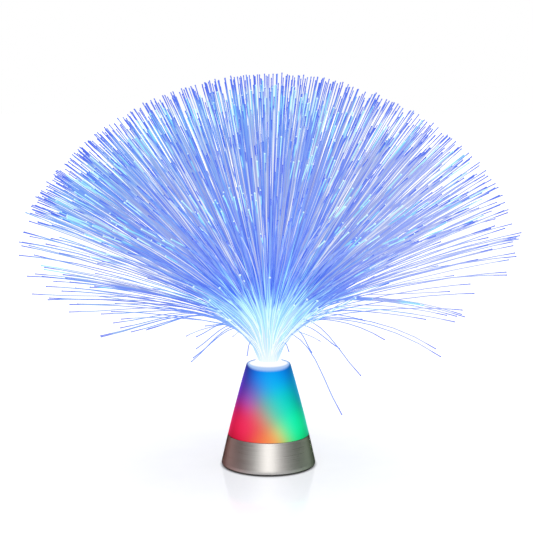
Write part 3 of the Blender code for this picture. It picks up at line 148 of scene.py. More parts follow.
BEAD_SHOULDER_SHARE = 0.4
BEAD_TIP_SHARE = 0.7

# How the strands spread
DOME_ANGLE = math.radians(60)
DOME_TILT = math.radians(2.5)
LOW_SPREAD = math.radians(23)
LOW_ROW_SHARE = 0.945
LOW_POWER = 1.2
LOW_POWER_TILT = 0.4
SHOULDER_ANGLE = math.radians(60)
LOW_TRIM_LEAST = 1.3
LOW_TRIM_SPREAD = 1.7
TRIM_LEFT = 0.018
START_LEAN = math.radians(12)
BEND_SHARE = 0.135
BEND_POWER = 1.4
BEND_LATER = 0.22
BEND_LATER_POWER = 12
HANG_START = 0.14
HANG_END = 0.32
SWAY = 1.1 * MM
SWAY_WAVES = 3
LENGTH_SCATTER = 0.012
LEAN_SCATTER = math.radians(1.6)
SWING_SCATTER = math.radians(2.2)
DROOP = math.radians(12)
DROOP_SCATTER = math.radians(5)
SHORT_CHANCE = 0.08
SHORT_SHARE = 0.925
SHORT_SCATTER = 0.02
THIN_RIGHT = 0.62
CUT_LEAST = 0.5
CUT_TRIM = 0.05

# Strands with a glowing end: the least glow that counts as one, how often one stands outside the patches
# below, and how long they are
GLOW_LIMIT = 0.80
LIT_CHANCE = 0.08
LIT_SHARES = (0.95, 0.99)

# Short broken strands with a bright bead. None starts where the azimuth's cosine is past the gap.
SPARKS = 44
SPARK_GAP = 0.82
SPARK_SHARES = (0.88, 0.99)
SPARK_LEANS = (math.radians(48), math.radians(60))
SPARK_LENGTHS = (0.30, 0.60)
SPARK_SWING = 2 * SWING_SCATTER
SPARK_DROOP = 0.5 * DROOP
SPARK_SWAY = 2.5 * SWAY
SPARK_TONE = 0.133

# Strays: the pixels of each one's tip and of its knee in the photograph, and how far it is turned from
# straight sideways towards the front, in degrees
STRAYS = (
    (191, 362, 238, 325, 14), (193, 358, 240, 327, 6), (196, 349, 236, 324, -12), (196, 337, 233, 321, 20),
    (205, 326, 226, 325, 8), (247, 356, 251, 341, 30), (100, 336, 205, 316, 10), (146, 330, 208, 315, -16),
    (120, 328, 204, 314, 16), (113, 323, 205, 314, -8), (101, 314, 205, 314, 12), (69, 312, 196, 312, 4),
    (77, 304, 198, 310, -20), (32, 294, 196, 307, 2), (49, 298, 198, 309, 14), (289, 352, 285, 343, 30),
    (312, 353, 295, 328, 26), (342, 415, 292, 334, 30), (361, 376, 304, 319, 20), (340, 349, 300, 325, 10),
    (101, 337, 204, 316, -4), (131, 332, 207, 316, 14), (148, 329, 206, 315, 5),
)
# The ones on the right that arch over evenly, with the pixels of the crest in place of the knee's, and
# how brightly each one's end glows
ARCHED_STRAYS = (
    (373, 299, 345, 298.5, 8, 0.84), (371, 300.5, 343, 300, -6, 0.86), (424, 305.5, 350, 298.5, 14, 0.88),
    (420, 304, 349, 297.5, 2, 0.84), (414, 306, 350, 300, -10, 0.86), (465, 317, 352, 298, 3, 0.35),
    (462, 314.5, 351, 297.5, -8, 0.35), (457, 316.5, 350, 299, 10, 0.35), (447, 315.5, 352, 305, -5, 0.35),
    (450, 291.5, 370, 294.5, -6, 0.35), (455, 322, 345, 307.5, 12, 0.35), (426, 319.5, 345, 310, 18, 0.35),
    (376, 312.5, 344, 310.5, 6, 0.35), (365, 321, 324, 313.5, 15, 0.35), (385, 340, 322, 319.5, 16, 0.35),
    (441, 357, 325, 318.5, 8, 0.35), (436, 349, 325, 317.5, -10, 0.35),
)
STRAY_GLOW = 0.35
STRAY_TONES = (0.77, 0.81)
STRAY_CLIMB = (0.0, 0.2, 0.4, 0.6, 0.8)
STRAY_FALL = (0.0, 0.12, 0.25, 0.4, 0.6, 0.8, 1.0)
STRAY_ROOT_SLOPE = 0.2
KNEE_CLIMB_SHARE = 0.35
KNEE_FALL_SHARE = 0.65
KNEE_ARRIVAL = 1.1
BODY_START = 0.40

# Strands that fall away at the back: azimuth and lean in degrees, and length in shares of a full strand
REAR_STRAYS = (
    (60, 98, 0.74), (68, 104, 0.60), (76, 94, 0.86), (85, 110, 0.46), (94, 96, 0.80), (103, 102, 0.66),
    (111, 95, 0.84), (120, 101, 0.72),
)

# Pixels in the photograph round which the tips glow brightest, how far from the bundle those tips are, in
# shares of a full strand, and how wide each such patch is, seen from the bundle
GLOW_PATCHES = (
    (61, 211), (66, 193), (78, 174), (101, 158), (130, 135), (150, 112), (198, 100), (232, 96), (266, 88),
    (296, 88), (318, 100), (364, 114), (388, 130), (465, 168), (470, 204), (400, 218), (370, 226),
    (354, 224), (426, 214), (228, 278), (262, 286), (270, 279), (208, 296), (188, 280), (290, 290),
    (345, 267), (307, 274), (110, 230), (240, 200), (316, 156), (352, 188), (160, 252), (196, 206),
    (119, 281), (77, 232),
)
GLOW_PATCH_SHARE = 0.97
GLOW_PATCH_SPREAD = math.radians(4.2)

# Looks of the strands. Pairs are where a change starts and where it is complete: across the lamp in
# metres, along a strand or back from its tip in shares of a full one, or over the number from 0 to 1 that
# the lottery draws for each strand.
PALE_RIGHT = (20 * MM, 170 * MM)
BRIGHT_LEFT = (90 * MM, -30 * MM)
OPEN_AIR = (0.34, 0.68)
BRIGHT_RIM = (0.24, 0.08)
LAST_STRETCH = (0.040, 0.024)
END_FADE = 0.02
LOTTERY_FACTOR = 7.3
CYAN_FROM = (0.42, 0.48)
RAY_FROM = (0.90, 0.91)
ROOT_LIGHT_SHARE = 0.245
ROOT_LIGHT_SPREAD = 0.20
RAY_EXTRA = 0.14
ROOT_FADE = 0.05

# Heights between which the socket's and the lights' glow rises
CLEAR_GLOW = (30 * MM, 90 * MM)
LENS_GLOW = (24 * MM, 35 * MM)

# Where along a cell its second tone and its bare ends start, each over a fine edge
CELL_BAND = (17.5 * MM, 17.6 * MM)
CELL_BARE = (24.6 * MM, 24.7 * MM)

WHITE = (1.0, 1.0, 1.0)

random.seed(11)


def srgb(red, green, blue):
    """Linear colour from 8-bit display values."""
    shown = (red / 255, green / 255, blue / 255)
    return tuple(v / 12.92 if v <= 0.04 else ((v + 0.055) / 1.055) ** 2.4 for v in shown)


class Graph:
    """A material's or world's nodes, with short ways to add and link them."""

    def __init__(self, owner):
        owner.use_nodes = True
        self.tree = owner.node_tree
        self.tree.nodes.clear()

    def put(self, socket, value):
        if isinstance(value, bpy.types.NodeSocket):
            self.tree.links.new(value, socket)
        else:
            socket.default_value = value

    def add(self, kind, inputs=None, **settings):
        made = self.tree.nodes.new(kind)
        for key, value in settings.items():
            setattr(made, key, value)
        for key, value in (inputs or {}).items():
            self.put(made.inputs[key], value)
        return made

    def math(self, operation, *values):
        made = self.add("ShaderNodeMath", operation=operation)
        for socket, value in zip(made.inputs, values):
            self.put(socket, value)
        return made.outputs[0]

    def times(self, first, second):
        return self.math("MULTIPLY", first, second)

    def plus(self, first, second):
        return self.math("ADD", first, second)

    def vector(self, operation, **inputs):
        """A step of vector arithmetic. Its inputs are first, second and scale."""
        keys = {"first": 0, "second": 1, "scale": 3}
        made = self.add("ShaderNodeVectorMath", operation=operation)
        for name, value in inputs.items():
            self.put(made.inputs[keys[name]], value)
        return made.outputs["Value" if operation in ("LENGTH", "DISTANCE") else "Vector"]

    def ramp(self, factor, stops):
        """A colour ramp. Each stop is a place from 0 to 1 and a linear colour."""
        made = self.add("ShaderNodeValToRGB", {"Fac": factor})
        elements = made.color_ramp.elements
        while len(elements) < len(stops):
            elements.new(0.5)
        for element, (place, color) in zip(elements, stops):
            element.position = place
            element.color = (*color, 1)
        return made.outputs["Color"]

    def step(self, value, start, end):
        """0 below start, 1 above end, smooth between. Start may be the higher one."""
        return self.add("ShaderNodeMapRange", {"Value": value, "From Min": start, "From Max": end},
                        interpolation_type="SMOOTHSTEP").outputs["Result"]

    def remap(self, value, old, new):
        """The value, with one range brought to another."""
        return self.add("ShaderNodeMapRange", {
            "Value": value, "From Min": old[0], "From Max": old[1], "To Min": new[0], "To Max": new[1],
        }).outputs["Result"]

    def mix(self, factor, first, second, blend="MIX"):
        made = self.add("ShaderNodeMix", data_type="RGBA", blend_type=blend)
        sockets = [s for s in made.inputs if s.enabled]
        for socket, value in zip(sockets, (factor, first, second)):
            self.put(socket, (*value, 1) if isinstance(value, tuple) else value)
        return next(s for s in made.outputs if s.enabled)

    def noise(self, scale, vector, detail=3.0, roughness=0.5):
        return self.add("ShaderNodeTexNoise", {
            "Vector": vector, "Scale": scale, "Detail": detail, "Roughness": roughness}).outputs["Fac"]

    def place(self):
        """The surface point in the lamp's frame."""
        return self.add("ShaderNodeTexCoord").outputs["Object"]

    def axes(self, vector):
        split = self.add("ShaderNodeSeparateXYZ", {"Vector": vector})
        return split.outputs["X"], split.outputs["Y"], split.outputs["Z"]

    def axis(self, vector, name):
        return self.add("ShaderNodeSeparateXYZ", {"Vector": vector}).outputs[name]

    def bump(self, height, strength, distance):
        made = self.add("ShaderNodeBump", {"Height": height, "Strength": strength, "Distance": distance})
        return made.outputs["Normal"]

    def attribute(self, name):
        return self.add("ShaderNodeAttribute", attribute_name=name).outputs["Fac"]

    def principled(self, **inputs):
        """The surface shader. Its inputs are named as on the node, with _ for a space."""
        named = {key.replace("_", " "): value for key, value in inputs.items()}
        for key in ("Base Color", "Emission Color", "Specular Tint"):
            if isinstance(named.get(key), tuple):
                named[key] = (*named[key], 1)
        shader = self.add("ShaderNodeBsdfPrincipled", named)
        self.add("ShaderNodeOutputMaterial", {"Surface": shader.outputs["BSDF"]})


def new_material(name):
    made = bpy.data.materials.new(name)
    return made, Graph(made)


def add_object(name, shape, material):
    """The object that a finished shape makes, in one material."""
    mesh = bpy.data.meshes.new(name)
    shape.to_mesh(mesh)
    shape.free()
    mesh.materials.append(material)
    made = bpy.data.objects.new(name, mesh)
    bpy.context.scene.collection.objects.link(made)
    return made


# Camera, light and floor


def make_camera():
    data = bpy.data.cameras.new("camera")
    camera = bpy.data.objects.new("camera", data)
    bpy.context.scene.collection.objects.link(camera)
    data.sensor_width = SENSOR
    data.lens = FOCAL_PIXELS / FRAME_PIXELS * SENSOR
    data.shift_x = -(AXIS_PIXEL - FRAME_PIXELS / 2) / FRAME_PIXELS
    camera.location = CAMERA_PLACE
    camera.rotation_euler = (CAMERA_AIM - CAMERA_PLACE).to_track_quat("-Z", "Y").to_euler()
    bpy.context.scene.camera = camera


def make_world():
    """White to the camera. To the lamp it is a dim studio with a tall soft box and a wide one in front, a
    narrow one behind and a large one overhead."""
    world = bpy.data.worlds.new("studio")
    bpy.context.scene.world = world
    graph = Graph(world)
    x, y, z = graph.axes(graph.add("ShaderNodeTexCoord").outputs["Generated"])
    flat = graph.math("SQRT", graph.plus(graph.times(x, x), graph.times(y, y)))
    strength = graph.plus(STUDIO_DIM, graph.times(graph.step(z, 0.50, 0.90), STUDIO_OVERHEAD))
    upright = graph.times(graph.step(z, -0.6, -0.1), graph.step(z, 0.9, 0.4))
    front = graph.times(y, -1.0)
    for toward, (narrow, power) in ((front, TALL_BOX), (front, WIDE_BOX), (y, REAR_BOX)):
        share = graph.math("MAXIMUM", graph.math("DIVIDE", toward, flat), 0.0)
        box = graph.times(graph.math("POWER", share, narrow), power)
        strength = graph.plus(strength, graph.times(box, upright))
    studio = graph.add("ShaderNodeBackground", {"Color": (*WHITE, 1), "Strength": strength})
    plain = graph.add("ShaderNodeBackground", {"Color": (*WHITE, 1), "Strength": 1.0})
    seen = graph.add("ShaderNodeLightPath").outputs["Is Camera Ray"]
    both = graph.add("ShaderNodeMixShader", {0: seen, 1: studio.outputs[0], 2: plain.outputs[0]})
    graph.add("ShaderNodeOutputWorld", {"Surface": both.outputs[0]})


def floor_material():
    """Plain white, with a painted shade under the lamp, where its own light fades out, and a sheen that
    fades away from it.
    """
    made, graph = new_material("floor_white")
    place = graph.place()
    away = graph.vector("LENGTH", first=place)
    sheen = graph.times(graph.step(away, FLOOR_SHEEN_OUTER, FLOOR_SHEEN_INNER), FLOOR_SHEEN)
    matte = graph.add("ShaderNodeBsdfDiffuse", {"Color": graph.ramp(graph.noise(30.0, place), [
        (0.3, (FLOOR_DIFFUSE - FLOOR_GRAIN,) * 3), (0.7, (FLOOR_DIFFUSE + FLOOR_GRAIN,) * 3)])})
    # Painted shade: the floor's own light fades out under the lamp, so the floor there is darker
    lift_outside_painted_shade = graph.times(graph.step(away, FLOOR_SHADE_INNER, FLOOR_SHADE_OUTER), FLOOR_LIFT)
    lift = graph.add("ShaderNodeEmission", {"Color": (*WHITE, 1), "Strength": lift_outside_painted_shade})
    plain = graph.add("ShaderNodeAddShader", {0: matte.outputs[0], 1: lift.outputs[0]})
    gloss = graph.add("ShaderNodeBsdfGlossy", {"Color": (*WHITE, 1), "Roughness": FLOOR_ROUGHNESS})
    both = graph.add("ShaderNodeMixShader", {0: sheen, 1: plain.outputs[0], 2: gloss.outputs[0]})
    graph.add("ShaderNodeOutputMaterial", {"Surface": both.outputs[0]})
    return made


def make_floor():
    shape = bmesh.new()
    bmesh.ops.create_circle(shape, cap_ends=True, segments=FLOOR_SIDES, radius=FLOOR_RADIUS)
    floor = add_object("floor", shape, floor_material())


# Lines of the strands


def scatter():
    return random.uniform(-1, 1)


def between(bounds):
    return bounds[0] + (bounds[1] - bounds[0]) * random.random()


def root_at(share, azimuth):
    """The place in the bundle at a share of the way out to its outermost strands."""
    return ROOT_REACH * share * math.cos(azimuth), ROOT_REACH * share * math.sin(azimuth)


def strand_line(root, azimuth, start, lean, hang, length, swing, droop, sway):
    """A strand's points from inside the bundle to its tip. It leaves the bundle nearly upright and bends
    over to its lean. The outermost ones bend a little later and then hang over further."""
    x, y = root
    bend = BEND_SHARE * (1 + BEND_LATER * (start / START_LEAN) ** BEND_LATER_POWER)
    track = [(0.0, 0.0)]
    for i in range(FINE_STEPS):
        share = (i + 0.5) / FINE_STEPS
        late = min(1.0, max(0.0, (share - HANG_START) / (HANG_END - HANG_START)))
        angle = start + (lean - start) * (1 - math.exp(-(share / bend) ** BEND_POWER))
        angle += hang * late * late * (3 - 2 * late) + droop * share * share
        out, up = track[-1]
        track.append((out + length * math.sin(angle) / FINE_STEPS,
                      up + length * math.cos(angle) / FINE_STEPS))
    points = [Vector((x, y, ROOT_HEIGHT))]
    for share in STATIONS:
        low = min(int(share * FINE_STEPS), FINE_STEPS - 1)
        part = share * FINE_STEPS - low
        out, up = (a + (b - a) * part for a, b in zip(track[low], track[low + 1]))
        heading = azimuth + swing * share * share
        side = sway * math.sin(share * SWAY_WAVES * math.pi) * (1 - share)
        points.append(Vector((x + out * math.cos(heading) - side * math.sin(heading),
                              y + out * math.sin(heading) + side * math.cos(heading), BUNDLE_TOP + up)))
    return points


def end_lean(share, azimuth):
    """The lean a strand bends over to, and how far it hangs over beyond that. The dome is even, a little
    lower on the left, and its outermost strands hang lower, least of all in front."""
    dome = DOME_ANGLE - DOME_TILT * math.cos(azimuth)
    lean = math.acos(1 - share ** 2 * (1 - math.cos(dome)))
    hang = random.random() ** (LOW_POWER - LOW_POWER_TILT * math.cos(azimuth))
    stir = scatter()
    if share > LOW_ROW_SHARE:
        return lean, LOW_SPREAD * hang * (1 - max(0.0, -math.sin(azimuth)) ** 2)
    return lean + LEAN_SCATTER * share * stir, 0.0


def ring_bounds(ring):
    """The inner and the outer radius of a ring of the bundle. All tufts have the same area."""
    inside = sum(TUFT_RINGS[:ring])
    return tuple(BUNDLE_RADIUS * math.sqrt(n / sum(TUFT_RINGS)) for n in (inside, inside + TUFT_RINGS[ring]))


def tuft_of(x, y):
    """Number of the tuft whose slice of the bundle holds a point."""
    ring = 0
    while ring < len(TUFT_RINGS) - 1 and math.hypot(x, y) >= ring_bounds(ring)[1]:
        ring += 1
    count = TUFT_RINGS[ring]
    return 1 + sum(TUFT_RINGS[:ring]) + round(math.atan2(y, x) / (2 * math.pi) * count) % count


def pixel_ray(px, py):
    """The direction in which the camera sees a pixel."""
    view = (CAMERA_AIM - CAMERA_PLACE).normalized()
    right = Vector((1, 0, 0))
    up = right.cross(view)
    ray = view + right * ((px - AXIS_PIXEL) / FOCAL_PIXELS) + up * ((FRAME_PIXELS / 2 - py) / FOCAL_PIXELS)
    return ray.normalized()


def from_pixel(px, py, azimuth):
    """The point on an upright half plane through the axis that shows at a pixel."""
    ray = pixel_ray(px, py)
    normal = Vector((-math.sin(azimuth), math.cos(azimuth), 0))
    reach = -CAMERA_PLACE.dot(normal) / ray.dot(normal)
    return CAMERA_PLACE + ray * reach


def patch_directions():
    """Directions from the bundle of the patches of glowing tips, on the near side of the dome."""
    reach = STRAND_LENGTH * GLOW_PATCH_SHARE
    offset = CAMERA_PLACE - BUNDLE_CENTRE
    found = []
    for px, py in GLOW_PATCHES:
        ray = pixel_ray(px, py)
        half = offset.dot(ray)
        inside = half * half - (offset.dot(offset) - reach * reach)
        near = -half - math.sqrt(max(0.0, inside))
        found.append((CAMERA_PLACE + ray * near - BUNDLE_CENTRE).normalized())
    return found


def sown_strands():
    """The strands of the dome. Their roots fill the bundle evenly, and each heads the way it stands. On the
    right they are thinner sown, and some of those left are cut short."""
    golden = math.pi * (3 - math.sqrt(5))
    patches = patch_directions()
    made = []
    for n in range(STRANDS):
        share = math.sqrt((n + 0.5) / STRANDS)
        azimuth = n * golden
        root = root_at(share, azimuth)
        lean, hang = end_lean(share, azimuth)
        trim = LOW_TRIM_LEAST + LOW_TRIM_SPREAD * random.random()
        trim *= max(0.0, lean + hang - SHOULDER_ANGLE) ** 2
        trim += TRIM_LEFT * share * max(0.0, -math.cos(azimuth))
        length = STRAND_LENGTH * (1 - trim - LENGTH_SCATTER * random.random())
        tone, glow = random.random(), random.random() * GLOW_LIMIT
        if random.random() < SHORT_CHANCE:
            length *= SHORT_SHARE + SHORT_SCATTER * scatter()
        lit, thin, cut = random.random(), random.random(), random.random()
        if share < LOW_ROW_SHARE and thin < THIN_RIGHT * share * max(0.0, math.cos(azimuth)):
            if cut < CUT_LEAST:
                continue
            length *= cut - CUT_TRIM
        droop = share * (DROOP + DROOP_SCATTER * scatter())
        ways = (SWING_SCATTER * scatter(), droop, SWAY * scatter())
        heading = azimuth + SWING_SCATTER * scatter()
        line = strand_line(root, heading, START_LEAN * share, lean, hang, length, *ways)
        toward = (line[-1] - BUNDLE_CENTRE).normalized()
        if min(toward.angle(patch) for patch in patches) < GLOW_PATCH_SPREAD or lit < LIT_CHANCE:
            glow = between((GLOW_LIMIT, 1))
            length *= between(LIT_SHARES)
            line = strand_line(root, heading, START_LEAN * share, lean, hang, length, *ways)
        made.append((tuft_of(*root), line, tone, glow, share, 0))
    return made


def spark_strands():
    """Short broken strands in front and at the back, light-filled up to a bright bead."""
    made = []
    for n in range(SPARKS):
        azimuth = 2 * math.pi * (n + 0.5 * scatter()) / SPARKS
        if abs(math.cos(azimuth)) > SPARK_GAP:
            continue
        share = between(SPARK_SHARES)
        root = root_at(share, azimuth)
        length = STRAND_LENGTH * between(SPARK_LENGTHS)
        line = strand_line(root, azimuth, START_LEAN * share, between(SPARK_LEANS), 0.0, length,
                           SPARK_SWING * scatter(), SPARK_DROOP * random.random(), SPARK_SWAY * scatter())
        made.append((tuft_of(*root), line, SPARK_TONE, 1.0, 0.0, 0))
    return made


def rear_strands():
    """Strands that fall away at the back, as the strays in front do."""
    made = []
    for azimuth, lean, length in REAR_STRAYS:
        azimuth = math.radians(azimuth)
        root = root_at(1.0, azimuth)
        line = strand_line(root, azimuth, START_LEAN, math.radians(lean), 0.0, STRAND_LENGTH * length,
                           SWING_SCATTER * scatter(), DROOP * random.random(), SWAY * scatter())
        made.append((tuft_of(*root), line, between(STRAY_TONES), STRAY_GLOW, 1.0, 0))
    return made


def hermite(start, leaving, end, arriving, share):
    """A point on the curve from start to end with these tangents."""
    two, three = share * share, share ** 3
    return (start * (2 * three - 3 * two + 1) + leaving * (three - 2 * two + share)
            + end * (3 * two - 2 * three) + arriving * (three - two))


def stray_line(azimuth, knee, tip, arched):
    """A stray's points: up to its knee or crest, then over it to the tip."""
    heading = Vector((math.cos(azimuth), math.sin(azimuth), 0))
    root = heading * ROOT_REACH
    start = root + BUNDLE_CENTRE
    climb, fall = knee - start, tip - knee
    over = KNEE_CLIMB_SHARE * climb.normalized() + KNEE_FALL_SHARE * fall.normalized()
    over = heading if arched else over.normalized()
    arriving = 2 * fall - over * fall.length if arched else fall * KNEE_ARRIVAL
    leaving = (Vector((0, 0, 1)) + STRAY_ROOT_SLOPE * heading).normalized() * climb.length
    line = [root + Vector((0, 0, ROOT_HEIGHT))]
    line += [hermite(start, leaving, knee, over * climb.length, share) for share in STRAY_CLIMB]
    line += [hermite(knee, over * fall.length, tip, arriving, share) for share in STRAY_FALL]
    return line


def stray_strands():
    """Strands that fall away from the bundle where the photograph shows them."""
    made = []
    rows = [(*row, STRAY_GLOW, False) for row in STRAYS] + [(*row, True) for row in ARCHED_STRAYS]
    for tip_x, tip_y, knee_x, knee_y, frontward, glow, arched in rows:
        turn = math.radians(frontward)
        azimuth = -turn if tip_x > AXIS_PIXEL else math.pi + turn
        knee, tip = from_pixel(knee_x, knee_y, azimuth), from_pixel(tip_x, tip_y, azimuth)
        line = stray_line(azimuth, knee, tip, arched)
        tuft = tuft_of(line[0].x, line[0].y)
        made.append((tuft, line, between(STRAY_TONES), glow, 1.0, len(STRAY_CLIMB)))
    return made


# Solids of the strands


def slice_corners(ring, middle, half_angle):
    """Outline of one tuft's slice of the potted bundle."""
    inner, outer = ring_bounds(ring)
    if ring == 0:
        return [((outer - BUNDLE_GAP) * math.cos(a), (outer - BUNDLE_GAP) * math.sin(a))
                for a in (2 * math.pi * k / CORE_SIDES for k in range(CORE_SIDES))]
    rim = outer if ring == len(TUFT_RINGS) - 1 else outer - BUNDLE_GAP
    points = []
    for radius, sign in ((rim, 1), (inner + BUNDLE_GAP, -1)):
        reach = sign * (half_angle - BUNDLE_GAP / radius)
        points += [(radius * math.cos(middle + reach * share), radius * math.sin(middle + reach * share))
                   for share in SLICE_ARC_SHARES]
    return points


def add_slice(shape, ring, middle, half_angle):
    """The potted slice, as a prism with its edges broken."""
    low = [shape.verts.new((x, y, BUNDLE_BOTTOM)) for x, y in slice_corners(ring, middle, half_angle)]
    high = [shape.verts.new((v.co.x, v.co.y, BUNDLE_TOP)) for v in low]
    shape.faces.new(low[::-1])
    shape.faces.new(high)
    for i in range(len(low)):
        j = (i + 1) % len(low)
        shape.faces.new((low[i], low[j], high[j], high[i]))
    caps = [e for e in shape.edges if abs(e.verts[0].co.z - e.verts[1].co.z) < 1e-6]
    bmesh.ops.bevel(shape, geom=caps, offset=BUNDLE_BEVEL, segments=BUNDLE_BEVEL_STEPS, affect="EDGES")


def strand_skin(points, radii):
    """Rings of corners round a strand's line. The corners keep level with the line's side direction."""
    rings = []
    for i, point in enumerate(points):
        ahead = points[min(i + 1, len(points) - 1)] - points[max(i - 1, 0)]
        ahead.normalize()
        side = Vector((-ahead.y, ahead.x, 0))
        side = side.normalized() if side.length > 1e-4 else Vector((1, 0, 0))
        up = ahead.cross(side)
        for k in range(STRAND_SIDES):
            angle = 2 * math.pi * k / STRAND_SIDES
            rings.append(point + radii[i] * (math.cos(angle) * side + math.sin(angle) * up))
    return rings


def bead_radius(glow, outer):
    """Radius of the bead at a strand's end. Sparks, which have 0 as outer, have the largest one."""
    if outer == 0:
        return SPARK_BEAD_RADIUS
    return GLOW_BEAD_RADIUS if glow > GLOW_LIMIT else BEAD_RADIUS


def add_strand(shape, layers, line, tone, glow, outer, knee):
    """One strand: a closed tube with a small bead at its end. Its corners hold how far along it and how
    far back from its tip they are, in shares of a full strand's length. Past a knee it counts as body."""
    bead = bead_radius(glow, outer)
    last = (line[-1] - line[-2]).normalized()
    shoulder = last * BEAD_LENGTH * BEAD_SHOULDER_SHARE
    points = line[:-1] + [line[-1] - last * BEAD_LENGTH, line[-1] - shoulder, line[-1]]
    full = len(line) - 3
    radii = [STRAND_ROOT_RADIUS + (STRAND_RADIUS - STRAND_ROOT_RADIUS) * min(1, i / full)
             for i in range(len(line) - 1)]
    radii += [STRAND_RADIUS, bead, bead * BEAD_TIP_SHARE]
    along = [0.0]
    for a, b in zip(points, points[1:]):
        along.append(along[-1] + (b - a).length / STRAND_LENGTH)
    back = [along[-1] - place for place in along]
    if knee:
        along = [max(place, BODY_START) if i > knee else place for i, place in enumerate(along)]
    corners = [shape.verts.new(c) for c in strand_skin(points, radii)]
    for i, corner in enumerate(corners):
        r = i // STRAND_SIDES
        cap = 1.0 if r == len(points) - 1 else 0.0
        for layer, value in zip(layers, (along[r], back[r], tone, glow, cap, outer)):
            corner[layer] = value
    for r in range(len(points) - 1):
        for k in range(STRAND_SIDES):
            j = (k + 1) % STRAND_SIDES
            a, b = r * STRAND_SIDES, (r + 1) * STRAND_SIDES
            face = shape.faces.new((corners[a + k], corners[a + j], corners[b + j], corners[b + k]))
            face.smooth = True
    shape.faces.new(corners[:STRAND_SIDES][::-1])
    shape.faces.new(corners[-STRAND_SIDES:])


# Looks of the strands


def body_color(graph, along, back, tone, glow, outer, place):
    """Periwinkle, with paler and deeper strands among them. They are paler in the open air, most of all on
    the right, brighter near the rim on the left, and have a deep blue or a glowing end."""
    x = graph.axis(place, "X")
    inner = graph.ramp(tone, [
        (0.0, srgb(46, 82, 226)), (0.30, srgb(58, 100, 238)), (0.60, srgb(72, 118, 244)),
        (0.78, srgb(92, 124, 222)), (0.90, srgb(110, 152, 246)), (1.0, srgb(178, 204, 250))])
    open_air = graph.ramp(tone, [
        (0.0, srgb(84, 112, 232)), (0.18, srgb(100, 128, 240)), (0.38, srgb(118, 148, 243)),
        (0.54, srgb(134, 156, 236)), (0.64, srgb(156, 168, 224)), (0.74, srgb(146, 158, 214)),
        (0.84, srgb(180, 191, 238)), (0.94, srgb(222, 227, 246)), (1.0, srgb(243, 243, 250))])
    body = graph.mix(graph.step(along, *OPEN_AIR), inner, open_air)
    rimward = graph.times(graph.step(back, *BRIGHT_RIM), graph.times(graph.step(x, *BRIGHT_LEFT), 0.38))
    patches = graph.step(graph.noise(70.0, place, detail=2.0), 0.50, 0.72)
    for share, color in (
            (graph.times(graph.step(x, *PALE_RIGHT), 0.5), srgb(196, 206, 249)),
            (graph.times(graph.step(outer, 0.93, 1.0), 0.25), srgb(168, 184, 250)),
            (rimward, srgb(112, 186, 252)),
            (graph.times(patches, 0.30), srgb(150, 190, 252))):
        body = graph.mix(share, body, color)
    end = graph.ramp(glow, [
        (0.0, srgb(76, 100, 230)), (0.50, srgb(94, 122, 240)), (0.78, srgb(104, 144, 246)),
        (0.82, srgb(126, 208, 253)), (0.90, srgb(156, 234, 255)), (1.0, srgb(204, 249, 255))])
    end_length = graph.ramp(glow, [(0.0, (0.055,) * 3), (0.79, (0.045,) * 3), (0.81, (0.09,) * 3)])
    body = graph.mix(graph.step(graph.math("SUBTRACT", end_length, back), 0.0, END_FADE), body, end)
    last = graph.times(graph.step(back, *LAST_STRETCH), graph.step(tone, 0.66, 0.60))
    last = graph.times(last, graph.step(glow, 0.92, 0.88))
    return graph.mix(last, body, srgb(84, 116, 238))


def root_color(graph, along, lottery, bright, outer, place):
    """White to cyan where the strand leaves the bundle, bluer in the outermost ones, mostly at the sides.
    The bright ones keep their light furthest."""
    white = graph.ramp(along, [
        (0.0, srgb(255, 255, 255)), (0.13, srgb(246, 255, 255)), (0.21, srgb(218, 253, 255)),
        (0.31, srgb(180, 236, 254)), (0.45, srgb(130, 178, 249))])
    cyan = graph.ramp(along, [
        (0.0, srgb(250, 255, 255)), (0.07, srgb(208, 255, 255)), (0.17, srgb(178, 248, 255)),
        (0.28, srgb(150, 216, 253)), (0.40, srgb(118, 166, 249))])
    ray = graph.ramp(along, [
        (0.0, srgb(255, 255, 255)), (0.18, srgb(234, 255, 255)), (0.28, srgb(198, 249, 255)),
        (0.40, srgb(162, 224, 255)), (0.54, srgb(124, 170, 248))])
    edge = graph.ramp(along, [
        (0.0, srgb(232, 252, 255)), (0.05, srgb(180, 220, 254)), (0.11, srgb(156, 192, 252)),
        (0.20, srgb(130, 170, 249)), (0.30, srgb(112, 148, 246))])
    azimuth = graph.math("ARCTAN2", graph.axis(place, "Y"), graph.axis(place, "X"))
    sideways = graph.math("ABSOLUTE", graph.math("COSINE", azimuth))
    sideways = graph.plus(0.45, graph.times(graph.step(sideways, 0.45, 0.9), 0.5))
    root = graph.mix(graph.step(lottery, *CYAN_FROM), white, cyan)
    root = graph.mix(graph.times(graph.step(outer, 0.90, 0.98), sideways), root, edge)
    return graph.mix(bright, root, ray)


def strand_material():
    """Light-filled acrylic: its root's colours, then its body's, and a cap of its own at the tip. The tone
    also draws which strands are cyan at the root, which are bright and how far the root's light reaches."""
    made, graph = new_material("light_fiber")
    along, back, tone, glow, cap, outer = (graph.attribute(name) for name in STRAND_LAYERS)
    place = graph.place()
    lottery = graph.math("FRACT", graph.times(tone, LOTTERY_FACTOR))
    bright = graph.step(lottery, *RAY_FROM)
    root = root_color(graph, along, lottery, bright, outer, place)
    body = body_color(graph, along, back, tone, glow, outer, place)
    reach = graph.plus(ROOT_LIGHT_SHARE, graph.times(lottery, ROOT_LIGHT_SPREAD))
    reach = graph.plus(reach, graph.times(bright, RAY_EXTRA))
    color = graph.mix(graph.step(graph.math("SUBTRACT", along, reach), 0.0, ROOT_FADE), root, body)
    tip = graph.ramp(glow, [
        (0.0, srgb(60, 84, 220)), (0.70, srgb(84, 120, 240)), (0.85, srgb(225, 252, 255))])
    graph.principled(
        Base_Color=(0.006, 0.008, 0.014), Roughness=0.22, Specular_IOR_Level=0.10,
        Emission_Color=graph.mix(cap, color, tip), Emission_Strength=1.0)
    return made


